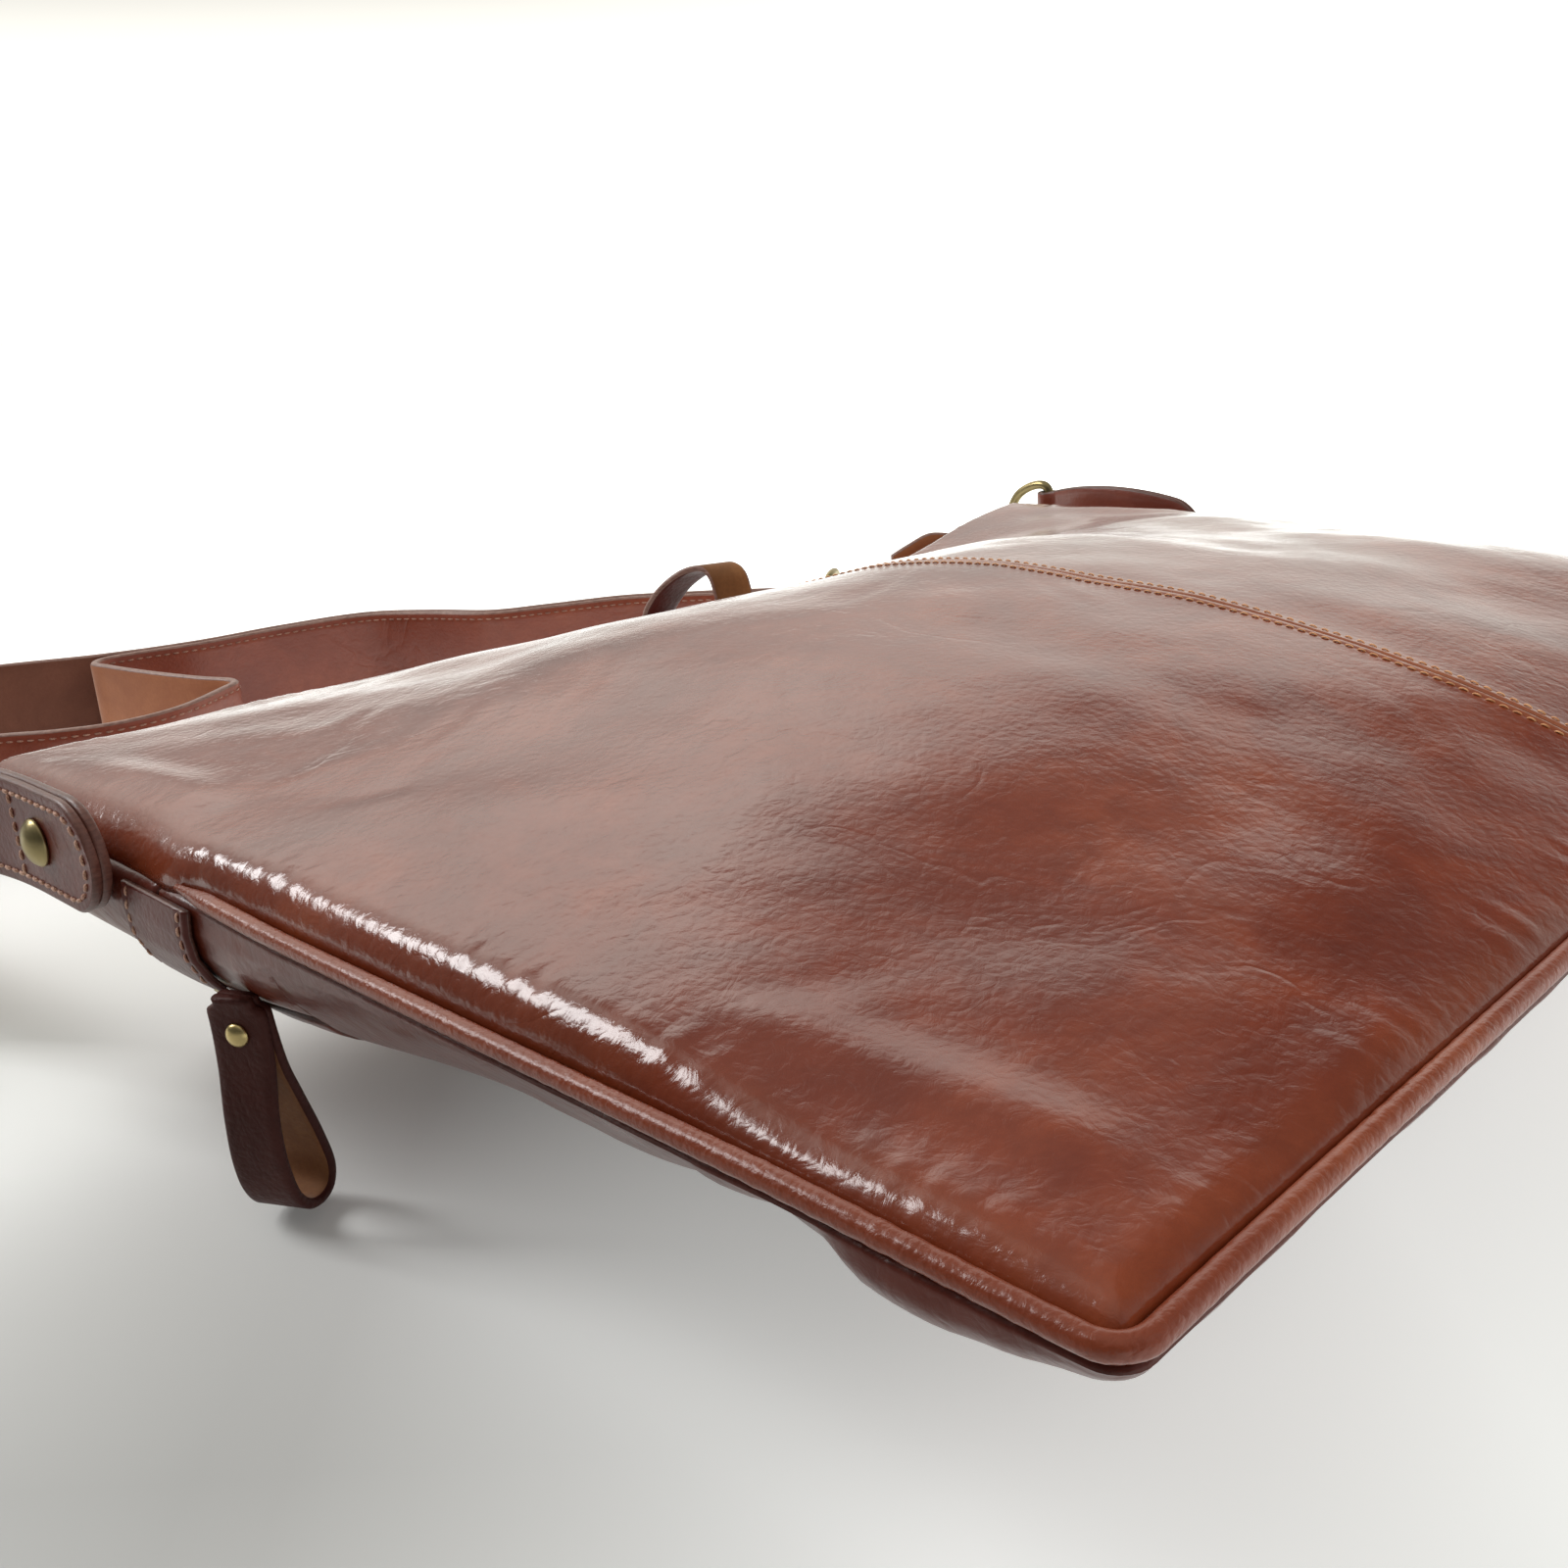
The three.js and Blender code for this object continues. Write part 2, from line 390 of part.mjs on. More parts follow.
// The right tab bends over: both its ends hang lower than its middle.
const bend = (side, y) => (side > 0 ? -0.2 - 4.8 * ((y - 106) / 34) ** 2 : 0);
for (const [word, side] of [['left', -1], ['right', 1]]) {
  const ys = [TAB.end, 82, 92, 100, 107, 114, 122, 130, TAB.bar];
  const bar = [tabX(TAB.bar) + TAB.thick / 2, TAB.bar + 1.0];
  const eye = 4.4, hole = 2.75;
  // Plan outline: two layers together, opening round the ring's bar.
  const innerFace = ys.map((y) => [tabX(y), y]), outerFace = ys.map((y) => [tabX(y) + TAB.thick, y]).reverse();
  const round = [];
  for (let i = 0; i <= 12; i++) { const t = -0.12 * Math.PI + (i / 12) * 1.24 * Math.PI; round.push([bar[0] + eye * Math.cos(t), bar[1] + eye * Math.sin(t)]); }
  const plan = [...innerFace.slice(0, -1), ...round.slice().reverse(), ...outerFace.slice(1)];
  const ring = Array.from({ length: 16 }, (_, i) => [bar[0] + hole * Math.cos(-i / 8 * Math.PI), bar[1] + hole * Math.sin(-i / 8 * Math.PI)]);
  const body = toManifold(slab(plan, [ring], TAB.height, [0, 0, TAB.z - TAB.height / 2], [1, 0, 0], [0, 1, 0]));
  // Side outline: a round end by the stud.
  const h = TAB.height / 2, face = [];
  for (let i = 0; i <= 12; i++) { const t = Math.PI / 2 + (i / 12) * Math.PI; face.push([TAB.end + h + h * Math.cos(t), h * Math.sin(t)]); }
  face.push([TAB.bar + 20, -h], [TAB.bar + 20, h]);
  const cut = toManifold(slab(face.map(([y, z]) => [y, z]), [], 60, [A - 20, 0, TAB.z], [0, 1, 0], [0, 0, 1]));
  const tab = fromManifold(body.intersect(cut));
  const turn = (g) => { if (side < 0) { g.applyMatrix4(new THREE.Matrix4().makeScale(-1, 1, 1)); const ix = g.index.array; for (let i = 0; i < ix.length; i += 3) { const t = ix[i + 1]; ix[i + 1] = ix[i + 2]; ix[i + 2] = t; } g.computeVertexNormals(); } return g; };
  const pos = tab.getAttribute('position');
  for (let i = 0; i < pos.count; i++) pos.setZ(i, pos.getZ(i) + bend(side, Math.min(pos.getY(i), TAB.bar)));
  tab.computeVertexNormals();
  put(`tab_${word}`, turn(tab), 'maroon');

  // Domed stud standing on the tab's face
  const profile = [[0, 0], [4.75, 0], [4.75, 0.7], [4.3, 1.5], [3.2, 2.3], [1.7, 2.8], [0, 3.0]].map((p) => new THREE.Vector2(...p));
  const stud = new THREE.LatheGeometry(profile, 16);
  const y = 92.5;
  stud.rotateZ(-Math.PI / 2);
  stud.translate(tabX(y) + TAB.thick + GAP, y, TAB.z + 0.4 + bend(side, y));
  const sm = fromManifold(toManifold(stud));
  put(`tab_stud_${word}`, turn(sm), 'brass');

  // D-ring: straight bar in the tab's eye, bow beyond it
  const w = TAB.height / 2 + 2.1, tz = TAB.z + bend(side, TAB.bar), d = [];
  d.push([bar[1], -w + 2], [bar[1], 0], [bar[1], w - 2], [bar[1] + 2.2, w], [bar[1] + 8, w - 0.6], [bar[1] + 15, w - 5], [bar[1] + 18.4, 0], [bar[1] + 15, -(w - 5)], [bar[1] + 8, -(w - 0.6)], [bar[1] + 2.2, -w]);
  put(`d_ring_${word}`, turn(tube(through(d.map(([yy, zz]) => [bar[0], yy, tz + zz]), 32, true), 1.7, 6, true)), 'brass');

  // Triangular link: its point in the D-ring, its upright side in the strap's fold
  const bow = bar[1] + 18.4, px = bar[0], lz = side > 0 ? -4 : 0;   // the right link sits lower with its tab
  const link = [[px - 6.5, bow - 5.5, tz - 5.5], [px, bow - 6.2, tz - 4.5], [px + 6.5, bow - 5.0, tz - 5.5], [px + 4, bow + 16, 60.5 + lz], [px + 1.5, bow + 22.5, 60.8 + lz], [px, bow + 24, 57 + lz], [px, bow + 24, 40 + lz], [px, bow + 24, 21 + lz], [px - 1.5, bow + 22.5, 17.4 + lz], [px - 4, bow + 16, 18.5 + lz], [px - 7, bow + 4, 38 + lz]];
  put(`strap_link_${word}`, turn(tube(through(link, 40, true), 1.6, 5, true)), 'brass');
}

// Zip sliders, set on the zip with their leather loop pulls
const SLIDER = [[-6, -1.8], [-4.4, -3], [4.4, -3], [6, -1.8], [6, 1.8], [4.4, 3], [-4.4, 3], [-6, 1.8]];
const sliderAt = (q, along) => {
  const p = section(q, 0.75), t = unit(sub(section(q, 0.80), section(q, 0.70)));
  const n = cross(along, t);
  return slab(SLIDER, [], 2.6, add(p, n, GAP), along, t);
};
put('zip_slider_side', sliderAt(leftQ(48), [0, 1, 0]), 'brass');
put('zip_slider_top', sliderAt(topRightQ(TOP_SLIDER_X - 6), [1, 0, 0]), 'brass');

// Hanging pull: folded strip, a = from its face inwards, b = downwards
const PULL = { width: 11, neck: 8 };
{
  const face = [-0.89, -0.456, 0], inward = [0.89, 0.456, 0], down = [0, 0, -1];
  const across = cross(inward, down);
  const top = [-194.3, 34.1, EDGE_Z - 19.5];
  const at = (w) => add(top, across, -w / 2);
  const outer = [[0, 0.2], [-0.6, 12], [-1.7, 22], [-1.6, 32], [0.6, 39], [4.4, 43], [9.4, 44.4], [13.8, 42.6], [15.2, 38.4], [12.6, 30.5], [8.4, 20], [5.4, 12], [3.9, 5.5], [2.2, 0.2]];
  const inner = [[2.6, 14], [1.0, 22], [0.9, 31], [2.7, 37.4], [5.6, 40.6], [9.4, 42], [12.0, 41], [12.7, 38.4], [10.4, 31.2], [6.4, 21], [3.5, 14.3]];
  const body = toManifold(slab(outer, [inner], PULL.width, at(PULL.width), inward, down));
  const neck = toManifold(slab([[0, -2.2], [1.9, -2.2], [1.9, 2], [0, 2]], [], PULL.neck, at(PULL.neck), inward, down));
  put('zip_pull_side', fromManifold(body.add(neck)), 'pull');
  const dome = new THREE.LatheGeometry([[0, 0], [2.3, 0], [2.3, 0.4], [1.8, 1.0], [0.9, 1.35], [0, 1.45]].map((v) => new THREE.Vector2(...v)), 14);
  dome.applyQuaternion(new THREE.Quaternion().setFromUnitVectors(new THREE.Vector3(0, 1, 0), new THREE.Vector3(...unit(face))));
  dome.translate(...add(add(top, down, 5.0), face, 0.3 + GAP));
  put('pull_rivet_side', fromManifold(toManifold(dome)), 'brass');
}
// Standing pull on the top edge: a loop curled over backwards, turned towards the left
{
  const LOOP = [
    // distance along Y and height
    { y: 152.6, z: 49 }, { y: 160, z: 45.6 }, { y: 169, z: 44.2 }, { y: 177, z: 45.4 }, { y: 182, z: 49 }, { y: 182.5, z: 54.5 }, { y: 179, z: 60.5 },
    { y: 174, z: 66 }, { y: 168, z: 70 }, { y: 162, z: 71 }, { y: 158.2, z: 68.4 }, { y: 156, z: 62.5 }, { y: 154, z: 55 },
  ];
  const ring = through(LOOP.map(({ y, z }) => [y, z, 0]), 30, true);
  const offset = (t) => ring.map((p, i) => {
    const d = unit(sub(ring[(i + 1) % ring.length], ring[(i + ring.length - 1) % ring.length]));
    return [p[0] + d[1] * t, p[1] - d[0] * t];
  });
  const mid = TOP_SLIDER_X - 1, wide = PULL.width + 2;
  const loop = toManifold(slab(offset(1.1), [offset(-1.1)], wide, [mid - wide / 2, 0, 0], [0, 1, 0], [0, 0, 1]));
  const neck = toManifold(slab([[149.3, 44.2], [153.4, 45.6], [153.4, 49.2], [149.3, 47.2]], [], PULL.neck, [mid - PULL.neck / 2, 0, 0], [0, 1, 0], [0, 0, 1]));
  const pull = fromManifold(loop.add(neck)), pos = pull.getAttribute('position');
  for (let i = 0; i < pos.count; i++) {
    const d = pos.getX(i) - mid, y = pos.getY(i), w = smooth(50, 60, pos.getZ(i));
    pos.setX(i, mid + d * (1 - 0.1 * w) + 5.5 * w * (1 - smooth(158, 184, y)) - 5 * smooth(160, 186, y));
    pos.setY(i, y - 0.5 * d * w * (1 - 0.6 * smooth(160, 182, y)));
  }
  pull.computeVertexNormals();
  put('zip_pull_top', pull, 'pull');
}

// Shoulder strap on its edge: plan course with the height of its lower edge
const STRAP_RUN = [
  // right end: tail, turn round the link, then down to the surface
  { x: 189.5, y: 206.5, z: 11 }, { x: 196, y: 202, z: 15 }, { x: 202.5, y: 197, z: 18.5 }, { x: 208.6, y: 190.5, z: 18 }, { x: 210.5, y: 184, z: 18 }, { x: 209.4, y: 180, z: 18 }, { x: 206.4, y: 178.4, z: 18 },
  { x: 203.4, y: 180, z: 18 }, { x: 202.0, y: 184, z: 18 }, { x: 197, y: 188.5, z: 15.5 }, { x: 186, y: 193.5, z: 11 }, { x: 172, y: 201, z: 6.5 }, { x: 160, y: 214, z: 4 }, { x: 152, y: 232, z: 1 }, { x: 143, y: 250, z: 0 }, { x: 128, y: 271, z: 0 },
  // long run along the back of the bag to the first fold
  { x: 113, y: 288, z: 0 }, { x: 86, y: 304, z: 0 }, { x: 66, y: 317, z: 0 }, { x: 53, y: 342, z: 0 }, { x: 37, y: 364, z: 0 }, { x: 6, y: 375, z: 0 }, { x: -28, y: 381, z: 0 }, { x: -52, y: 389.5, z: 0 },
  { x: -63.5, y: 391.5, z: 0 }, { x: -68.6, y: 387, z: 0 }, { x: -67.6, y: 377, z: 0 },
  // short run back to the second fold
  { x: -63, y: 351, z: 0 }, { x: -56, y: 324, z: 0 }, { x: -51.6, y: 312, z: 0 }, { x: -52.8, y: 306.8, z: 0 }, { x: -59, y: 302.8, z: 0 },
  // round to the left link
  { x: -82, y: 291.4, z: 0 }, { x: -102, y: 291.6, z: 0 }, { x: -118, y: 300, z: 0 }, { x: -134, y: 314, z: 0 }, { x: -156, y: 327, z: 0 }, { x: -179, y: 325, z: 0 }, { x: -196, y: 306, z: 0 }, { x: -203, y: 276, z: 4 }, { x: -204, y: 240, z: 13 }, { x: -202.4, y: 205, z: 21 }, { x: -202.0, y: 186, z: 22 },
  { x: -203.4, y: 180, z: 22 }, { x: -206.4, y: 178.4, z: 22 }, { x: -209.4, y: 180, z: 22 }, { x: -210.6, y: 186, z: 22 },
  // doubled back: out and round behind the long run
  { x: -214, y: 205, z: 21 }, { x: -221, y: 240, z: 13 }, { x: -225, y: 278, z: 4 }, { x: -224, y: 320, z: 0 }, { x: -213, y: 366, z: 0 }, { x: -188, y: 407, z: 0 }, { x: -152, y: 431, z: 0 }, { x: -118, y: 433, z: 0 }, { x: -90, y: 419, z: 0 },
  { x: -60, y: 399, z: 0 }, { x: -26.9, y: 385.5, z: 0 }, { x: 7.1, y: 379.4, z: 0 }, { x: 39.5, y: 367.7, z: 0 }, { x: 56.8, y: 344.3, z: 0 }, { x: 69.4, y: 320, z: 0 }, { x: 88.4, y: 307.8, z: 0 }, { x: 115.8, y: 291.6, z: 0 }, { x: 131.8, y: 274, z: 0 }, { x: 148.6, y: 253, z: 0 }, { x: 157.6, y: 235, z: 1 }, { x: 165.6, y: 217.4, z: 4 }, { x: 172.6, y: 208.6, z: 6 },
];
{
  const curve = new THREE.CatmullRomCurve3(STRAP_RUN.map((p) => new THREE.Vector3(p.x, p.y, p.z)), false, 'centripetal');
  const n = STRAP_RUN.length - 1, pts = [];
  for (let i = 0; i < n; i++) {
    const a = STRAP_RUN[i], b = STRAP_RUN[i + 1], m = Math.max(1, Math.round(Math.hypot(b.x - a.x, b.y - a.y) / 11));
    for (let k = 0; k < m; k++) pts.push(curve.getPoint((i + k / m) / n));
  }
  pts.push(curve.getPoint(1));
  const rows = (side) => pts.map((p, i) => {
    const a = pts[Math.max(0, i - 1)], b = pts[Math.min(pts.length - 1, i + 1)], l = Math.hypot(b.x - a.x, b.y - a.y);
    const nx = (b.y - a.y) / l * side * STRAP.thick / 2, ny = -(b.x - a.x) / l * side * STRAP.thick / 2;
    const z = Math.max(0, p.z);
    return [[p.x + nx, p.y + ny, z], [p.x + nx, p.y + ny, z + STRAP.width]];
  });
  put('shoulder_strap', sheet(rows(1), rows(-1)), 'maroon');
  // Slide round both layers
  const mid = [162.8, 215.7], dir = unit([0.86, 0.50, 0]), z0 = 2.0, z1 = 42.6, w = 8.2;
  const corner = (s, z) => [mid[0] + dir[0] * s, mid[1] + dir[1] * s, z];
  const frame = [[-w, z0 + 2], [-w, (z0 + z1) / 2], [-w, z1 - 2], [-w + 2, z1], [w - 2, z1], [w, z1 - 2], [w, (z0 + z1) / 2], [w, z0 + 2], [w - 2, z0], [-w + 2, z0]].map(([q, z]) => corner(q, z));
  put('strap_slide', tube(frame, 1.6, 6, true), 'brass');
}

export default bag;
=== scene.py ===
# A soft leather laptop bag lying on its front: finished surfaces, stitching,
# zip, metal fittings, strap, a pale floor, soft studio light and the camera.
import math

import bpy
import numpy as np
from mathutils import Matrix, Vector


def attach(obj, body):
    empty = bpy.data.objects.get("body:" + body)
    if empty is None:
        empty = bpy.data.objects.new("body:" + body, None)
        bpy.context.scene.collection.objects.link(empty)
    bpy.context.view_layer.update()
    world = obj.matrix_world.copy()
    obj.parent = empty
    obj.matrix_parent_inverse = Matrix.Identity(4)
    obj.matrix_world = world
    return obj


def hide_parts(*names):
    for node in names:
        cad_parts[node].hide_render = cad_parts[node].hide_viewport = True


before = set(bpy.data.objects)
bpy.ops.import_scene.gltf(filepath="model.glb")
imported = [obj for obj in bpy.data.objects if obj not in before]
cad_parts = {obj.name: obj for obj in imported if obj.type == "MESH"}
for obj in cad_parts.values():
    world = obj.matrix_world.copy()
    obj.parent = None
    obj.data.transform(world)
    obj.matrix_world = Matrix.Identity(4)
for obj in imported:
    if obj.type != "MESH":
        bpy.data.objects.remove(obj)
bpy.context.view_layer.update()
MM = 0.001

# ------------------------------------------------------------------ sizes, mm
WIDTH, HEIGHT = 390.0, 300.8
EDGE_Z = 66.0
CORNER_R = 5.5
LEATHER = 1.8
CROWN, CROWN_Y = 27.0, 10.0
PANEL_INSET, PANEL_ROLL = 3.8, 6.3
PIPING_R = 1.7
FRONT_INSET = 15.6
FRONT_RIM = FRONT_INSET + 1.5
ZIP_END_Y, JOINT_Y = 18.0, 57.0
TOP_SLIDER_X = 46.0
GAPE = 12.0
GAP = 0.35
SAG = 11.7
TAB_END, TAB_BAR, TAB_H, TAB_T, TAB_Z = 69.0, 139.0, 23.0, 4.0, EDGE_Z + 1.3
STRAP_W, STRAP_T = 36.0, 3.0
A, B = WIDTH / 2, HEIGHT / 2


# ------------------------------------------------------------------ helpers
def clamp(v, lo, hi):
    return np.minimum(hi, np.maximum(lo, v))


def smooth(e0, e1, v):
    t = clamp((v - e0) / (e1 - e0), 0.0, 1.0)
    return t * t * (3 - 2 * t)


def lerp(a, b, t):
    return a + (b - a) * t


def unit(v):
    v = np.asarray(v, float)
    l = np.linalg.norm(v, axis=-1, keepdims=True)
    return v / np.where(l < 1e-12, 1, l)


class Waves:
    """Smooth random field of unit spread: a sum of waves with lengths between short and long."""

    def __init__(self, seed, count, short, long, dim=2, stretch=None):
        r = np.random.default_rng(seed)
        lam = np.exp(r.uniform(math.log(short), math.log(long), count))
        d = unit(r.normal(size=(count, dim)))
        self.k = d / lam[:, None] * 2 * math.pi
        if stretch is not None:
            self.k = self.k * np.asarray(stretch, float)
        self.p = r.uniform(0, 2 * math.pi, count)
        self.a = lam / math.sqrt((lam ** 2).sum() / 2)

    def __call__(self, *c):
        c = np.stack(np.broadcast_arrays(*[np.asarray(v, float) for v in c]), -1)
        return (np.cos(c @ self.k.T + self.p) * self.a).sum(-1)


def make(name, verts, faces, mats, index=None, replaces=(), smooth_faces=True, attributes=None):
    me = bpy.data.meshes.new(name)
    me.from_pydata((np.asarray(verts, float) * MM).tolist(), [], [tuple(int(i) for i in f) for f in faces])
    for m in mats:
        me.materials.append(m)
    if index is not None:
        me.polygons.foreach_set("material_index", np.asarray(index, np.int32))
    me.polygons.foreach_set("use_smooth", np.full(len(me.polygons), smooth_faces))
    for key, values in (attributes or {}).items():
        a = me.attributes.new(key, "FLOAT", "POINT")
        a.data.foreach_set("value", np.asarray(values, np.float32))
    me.validate()
    me.update()
    o = bpy.data.objects.new(name, me)
    bpy.context.scene.collection.objects.link(o)
    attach(o, "root")
    if replaces:
        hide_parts(*replaces)
    return o


def volume(verts, faces):
    v = np.asarray(verts, float)
    vol = 0.0
    tri = []
    for f in faces:
        for k in range(1, len(f) - 1):
            tri.append((f[0], f[k], f[k + 1]))
    t = np.asarray(tri)
    return float(np.einsum("ij,ij->i", v[t[:, 0]], np.cross(v[t[:, 1]], v[t[:, 2]])).sum())


def outward(verts, faces):
    return [tuple(reversed(f)) for f in faces] if volume(verts, faces) < 0 else faces


def sheet(outer, inner):
    """Closed thick sheet from two grids of points; index 0 outer face, 1 inner face, 2 cut edges."""
    n, m = outer.shape[:2]
    verts = np.concatenate([outer.reshape(-1, 3), inner.reshape(-1, 3)])
    k = n * m
    o = np.arange(n * m).reshape(n, m)
    faces, index = [], []
    a, b, c, d = o[:-1, :-1].ravel(), o[1:, :-1].ravel(), o[1:, 1:].ravel(), o[:-1, 1:].ravel()
    faces += list(zip(a, b, c, d))
    index += [0] * len(a)
    faces += list(zip(a + k, d + k, c + k, b + k))
    index += [1] * len(a)
    rim = []
    for i in range(n - 1):
        rim.append((o[i, 0], o[i, 0] + k, o[i + 1, 0] + k, o[i + 1, 0]))
        rim.append((o[i, m - 1], o[i + 1, m - 1], o[i + 1, m - 1] + k, o[i, m - 1] + k))
    for j in range(m - 1):
        rim.append((o[0, j], o[0, j + 1], o[0, j + 1] + k, o[0, j] + k))
        rim.append((o[n - 1, j], o[n - 1, j] + k, o[n - 1, j + 1] + k, o[n - 1, j + 1]))
    faces += rim
    index += [2] * len(rim)
    return verts, outward(verts, faces), index


def grid_normals(g):
    du = np.empty_like(g)
    dv = np.empty_like(g)
    du[1:-1], du[0], du[-1] = g[2:] - g[:-2], g[1] - g[0], g[-1] - g[-2]
    dv[:, 1:-1], dv[:, 0], dv[:, -1] = g[:, 2:] - g[:, :-2], g[:, 1] - g[:, 0], g[:, -1] - g[:, -2]
    return unit(np.cross(du, dv))


def through(points, count, closed=False):
    """Evenly spaced run on a smooth curve through the points (centripetal Catmull-Rom)."""
    p = np.asarray(points, float)
    n = len(p)
    segs = n if closed else n - 1
    out = []
    for i in range(segs):
        if closed:
            p0, p1, p2, p3 = p[(i - 1) % n], p[i], p[(i + 1) % n], p[(i + 2) % n]
        else:
            p1, p2 = p[i], p[i + 1]
            p0 = p[i - 1] if i > 0 else p1 + (p1 - p2)
            p3 = p[i + 2] if i + 2 < n else p2 + (p2 - p1)
        t0 = 0.0
        t1 = t0 + max(np.linalg.norm(p1 - p0), 1e-6) ** 0.5
        t2 = t1 + max(np.linalg.norm(p2 - p1), 1e-6) ** 0.5
        t3 = t2 + max(np.linalg.norm(p3 - p2), 1e-6) ** 0.5
        for s in np.linspace(0, 1, 24, endpoint=False):
            t = lerp(t1, t2, s)
            a1 = (t1 - t) / (t1 - t0) * p0 + (t - t0) / (t1 - t0) * p1
            a2 = (t2 - t) / (t2 - t1) * p1 + (t - t1) / (t2 - t1) * p2
            a3 = (t3 - t) / (t3 - t2) * p2 + (t - t2) / (t3 - t2) * p3
            b1 = (t2 - t) / (t2 - t0) * a1 + (t - t0) / (t2 - t0) * a2
            b2 = (t3 - t) / (t3 - t1) * a2 + (t - t1) / (t3 - t1) * a3
            out.append((t2 - t) / (t2 - t1) * b1 + (t - t1) / (t2 - t1) * b2)
    out.append(p[0] if closed else p[-1])
    out = np.asarray(out)
    s = np.concatenate([[0], np.cumsum(np.linalg.norm(np.diff(out, axis=0), axis=1))])
    q = np.linspace(0, s[-1], count + 1 if closed else count)
    res = np.stack([np.interp(q, s, out[:, c]) for c in range(out.shape[1])], -1)
    return res[:-1] if closed else res


def tangents(p, closed=False):
    if closed:
        return unit(np.roll(p, -1, 0) - np.roll(p, 1, 0))
    d = np.empty_like(p)
    d[1:-1], d[0], d[-1] = p[2:] - p[:-2], p[1] - p[0], p[-1] - p[-2]
    return unit(d)


def tube(points, radius, sides, closed):
    p = np.asarray(points, float)
    n = len(p)
    d = tangents(p, closed)
    rad = np.broadcast_to(np.asarray(radius, float), (n,)) if np.ndim(radius) < 2 else None
    up = unit(np.cross(d[0], [0, 0, 1.0] if abs(d[0][2]) < 0.8 else [1.0, 0, 0]))
    ups = []
    for i in range(n):
        up = unit(up - d[i] * np.dot(up, d[i]))
        ups.append(up)
    ups = np.asarray(ups)
    if closed:
        # spread the leftover twist over the run
        side0 = np.cross(d[0], ups[0])
        end = unit(ups[-1] - d[0] * np.dot(ups[-1], d[0]))
        twist = math.atan2(np.dot(end, side0), np.dot(end, ups[0]))
        sd = np.cross(d, ups)
        ang = -twist * np.arange(n) / n
        ups = ups * np.cos(ang)[:, None] + sd * np.sin(ang)[:, None]
    sd = np.cross(d, ups)
    a = np.arange(sides) / sides * 2 * math.pi
    r = rad[:, None] if rad is not None else np.asarray(radius, float)
    ring = p[:, None, :] + (np.cos(a)[None, :] * r)[:, :, None] * ups[:, None, :] + (np.sin(a)[None, :] * r)[:, :, None] * sd[:, None, :]
    verts = ring.reshape(-1, 3)
    idx = np.arange(n * sides).reshape(n, sides)
    faces = []
    last = n if closed else n - 1
    for i in range(last):
        j = (i + 1) % n
        for s in range(sides):
            t = (s + 1) % sides
            faces.append((idx[i, s], idx[i, t], idx[j, t], idx[j, s]))
    if not closed:
        faces.append(tuple(reversed(idx[0].tolist())))
        faces.append(tuple(idx[-1].tolist()))
    return verts, outward(verts, faces)


def lathe(profile, sides, origin, axis):
    """Solid of revolution; profile rows are (radius, height), both ends on the axis."""
    ax = unit(axis)
    u = unit(np.cross(ax, [0, 0, 1.0] if abs(ax[2]) < 0.9 else [1.0, 0, 0]))
    v = np.cross(ax, u)
    a = np.arange(sides) / sides * 2 * math.pi
    verts, rows = [], []
    for r, h in profile:
        if r < 1e-6:
            rows.append([len(verts)])
            verts.append(np.asarray(origin) + ax * h)
        else:
            rows.append(list(range(len(verts), len(verts) + sides)))
            for t in a:
                verts.append(np.asarray(origin) + ax * h + u * math.cos(t) * r + v * math.sin(t) * r)
    faces = []
    for r0, r1 in zip(rows[:-1], rows[1:]):
        for s in range(sides):
            t = (s + 1) % sides
            if len(r0) == 1:
                faces.append((r0[0], r1[s], r1[t]))
            elif len(r1) == 1:
                faces.append((r0[s], r1[0], r0[t]))
            else:
                faces.append((r0[s], r1[s], r1[t], r0[t]))
    verts = np.asarray(verts)
    return verts, outward(verts, faces)


def strip(path, across, half, thick, face_steps=6, normal_of=None):
    """Leather strip swept along path: across is its width direction, half its half-width at each point.
    Index 0 face on the side of tangent x across, 1 the other face, 2 cut edges."""
    p = np.asarray(path, float)
    n = len(p)
    d = tangents(p)
    w = unit(np.broadcast_to(np.asarray(across, float), p.shape))
    nn = unit(np.cross(d, w)) if normal_of is None else unit(normal_of)
    half = np.broadcast_to(np.asarray(half, float), (n,))
    e = min(0.8, thick * 0.36)
    sec = []
    for u in np.linspace(-1, 1, face_steps + 1):
        sec.append((u, 0.5, 0))
    for t in (0.30, 0.0, -0.30):
        sec.append((1, t, 2))
    for u in np.linspace(1, -1, face_steps + 1):
        sec.append((u, -0.5, 1))
    for t in (-0.30, 0.0, 0.30):
        sec.append((-1, t, 2))
    m = len(sec)
    verts = np.empty((n, m, 3))
    for j, (u, t, kind) in enumerate(sec):
        if kind == 2:
            off = (half - e * (abs(t) / 0.5) ** 2 * 0.55) * np.sign(u)
        else:
            off = (half - e) * u
        verts[:, j] = p + w * off[:, None] + nn * (t * thick)
    verts = verts.reshape(-1, 3)
    idx = np.arange(n * m).reshape(n, m)
    kinds = []
    for j in range(m):
        k0, k1 = sec[j][2], sec[(j + 1) % m][2]
        kinds.append(k0 if k0 == k1 else 2)
    faces, index = [], []
    for i in range(n - 1):
        for j in range(m):
            t = (j + 1) % m
            faces.append((idx[i, j], idx[i, t], idx[i + 1, t], idx[i + 1, j]))
            index.append(kinds[j])
    faces.append(tuple(reversed(idx[0].tolist())))
    faces.append(tuple(idx[-1].tolist()))
    index += [2, 2]
    if volume(verts, faces) < 0:
        faces = [tuple(reversed(f)) for f in faces]
    return verts, faces, index


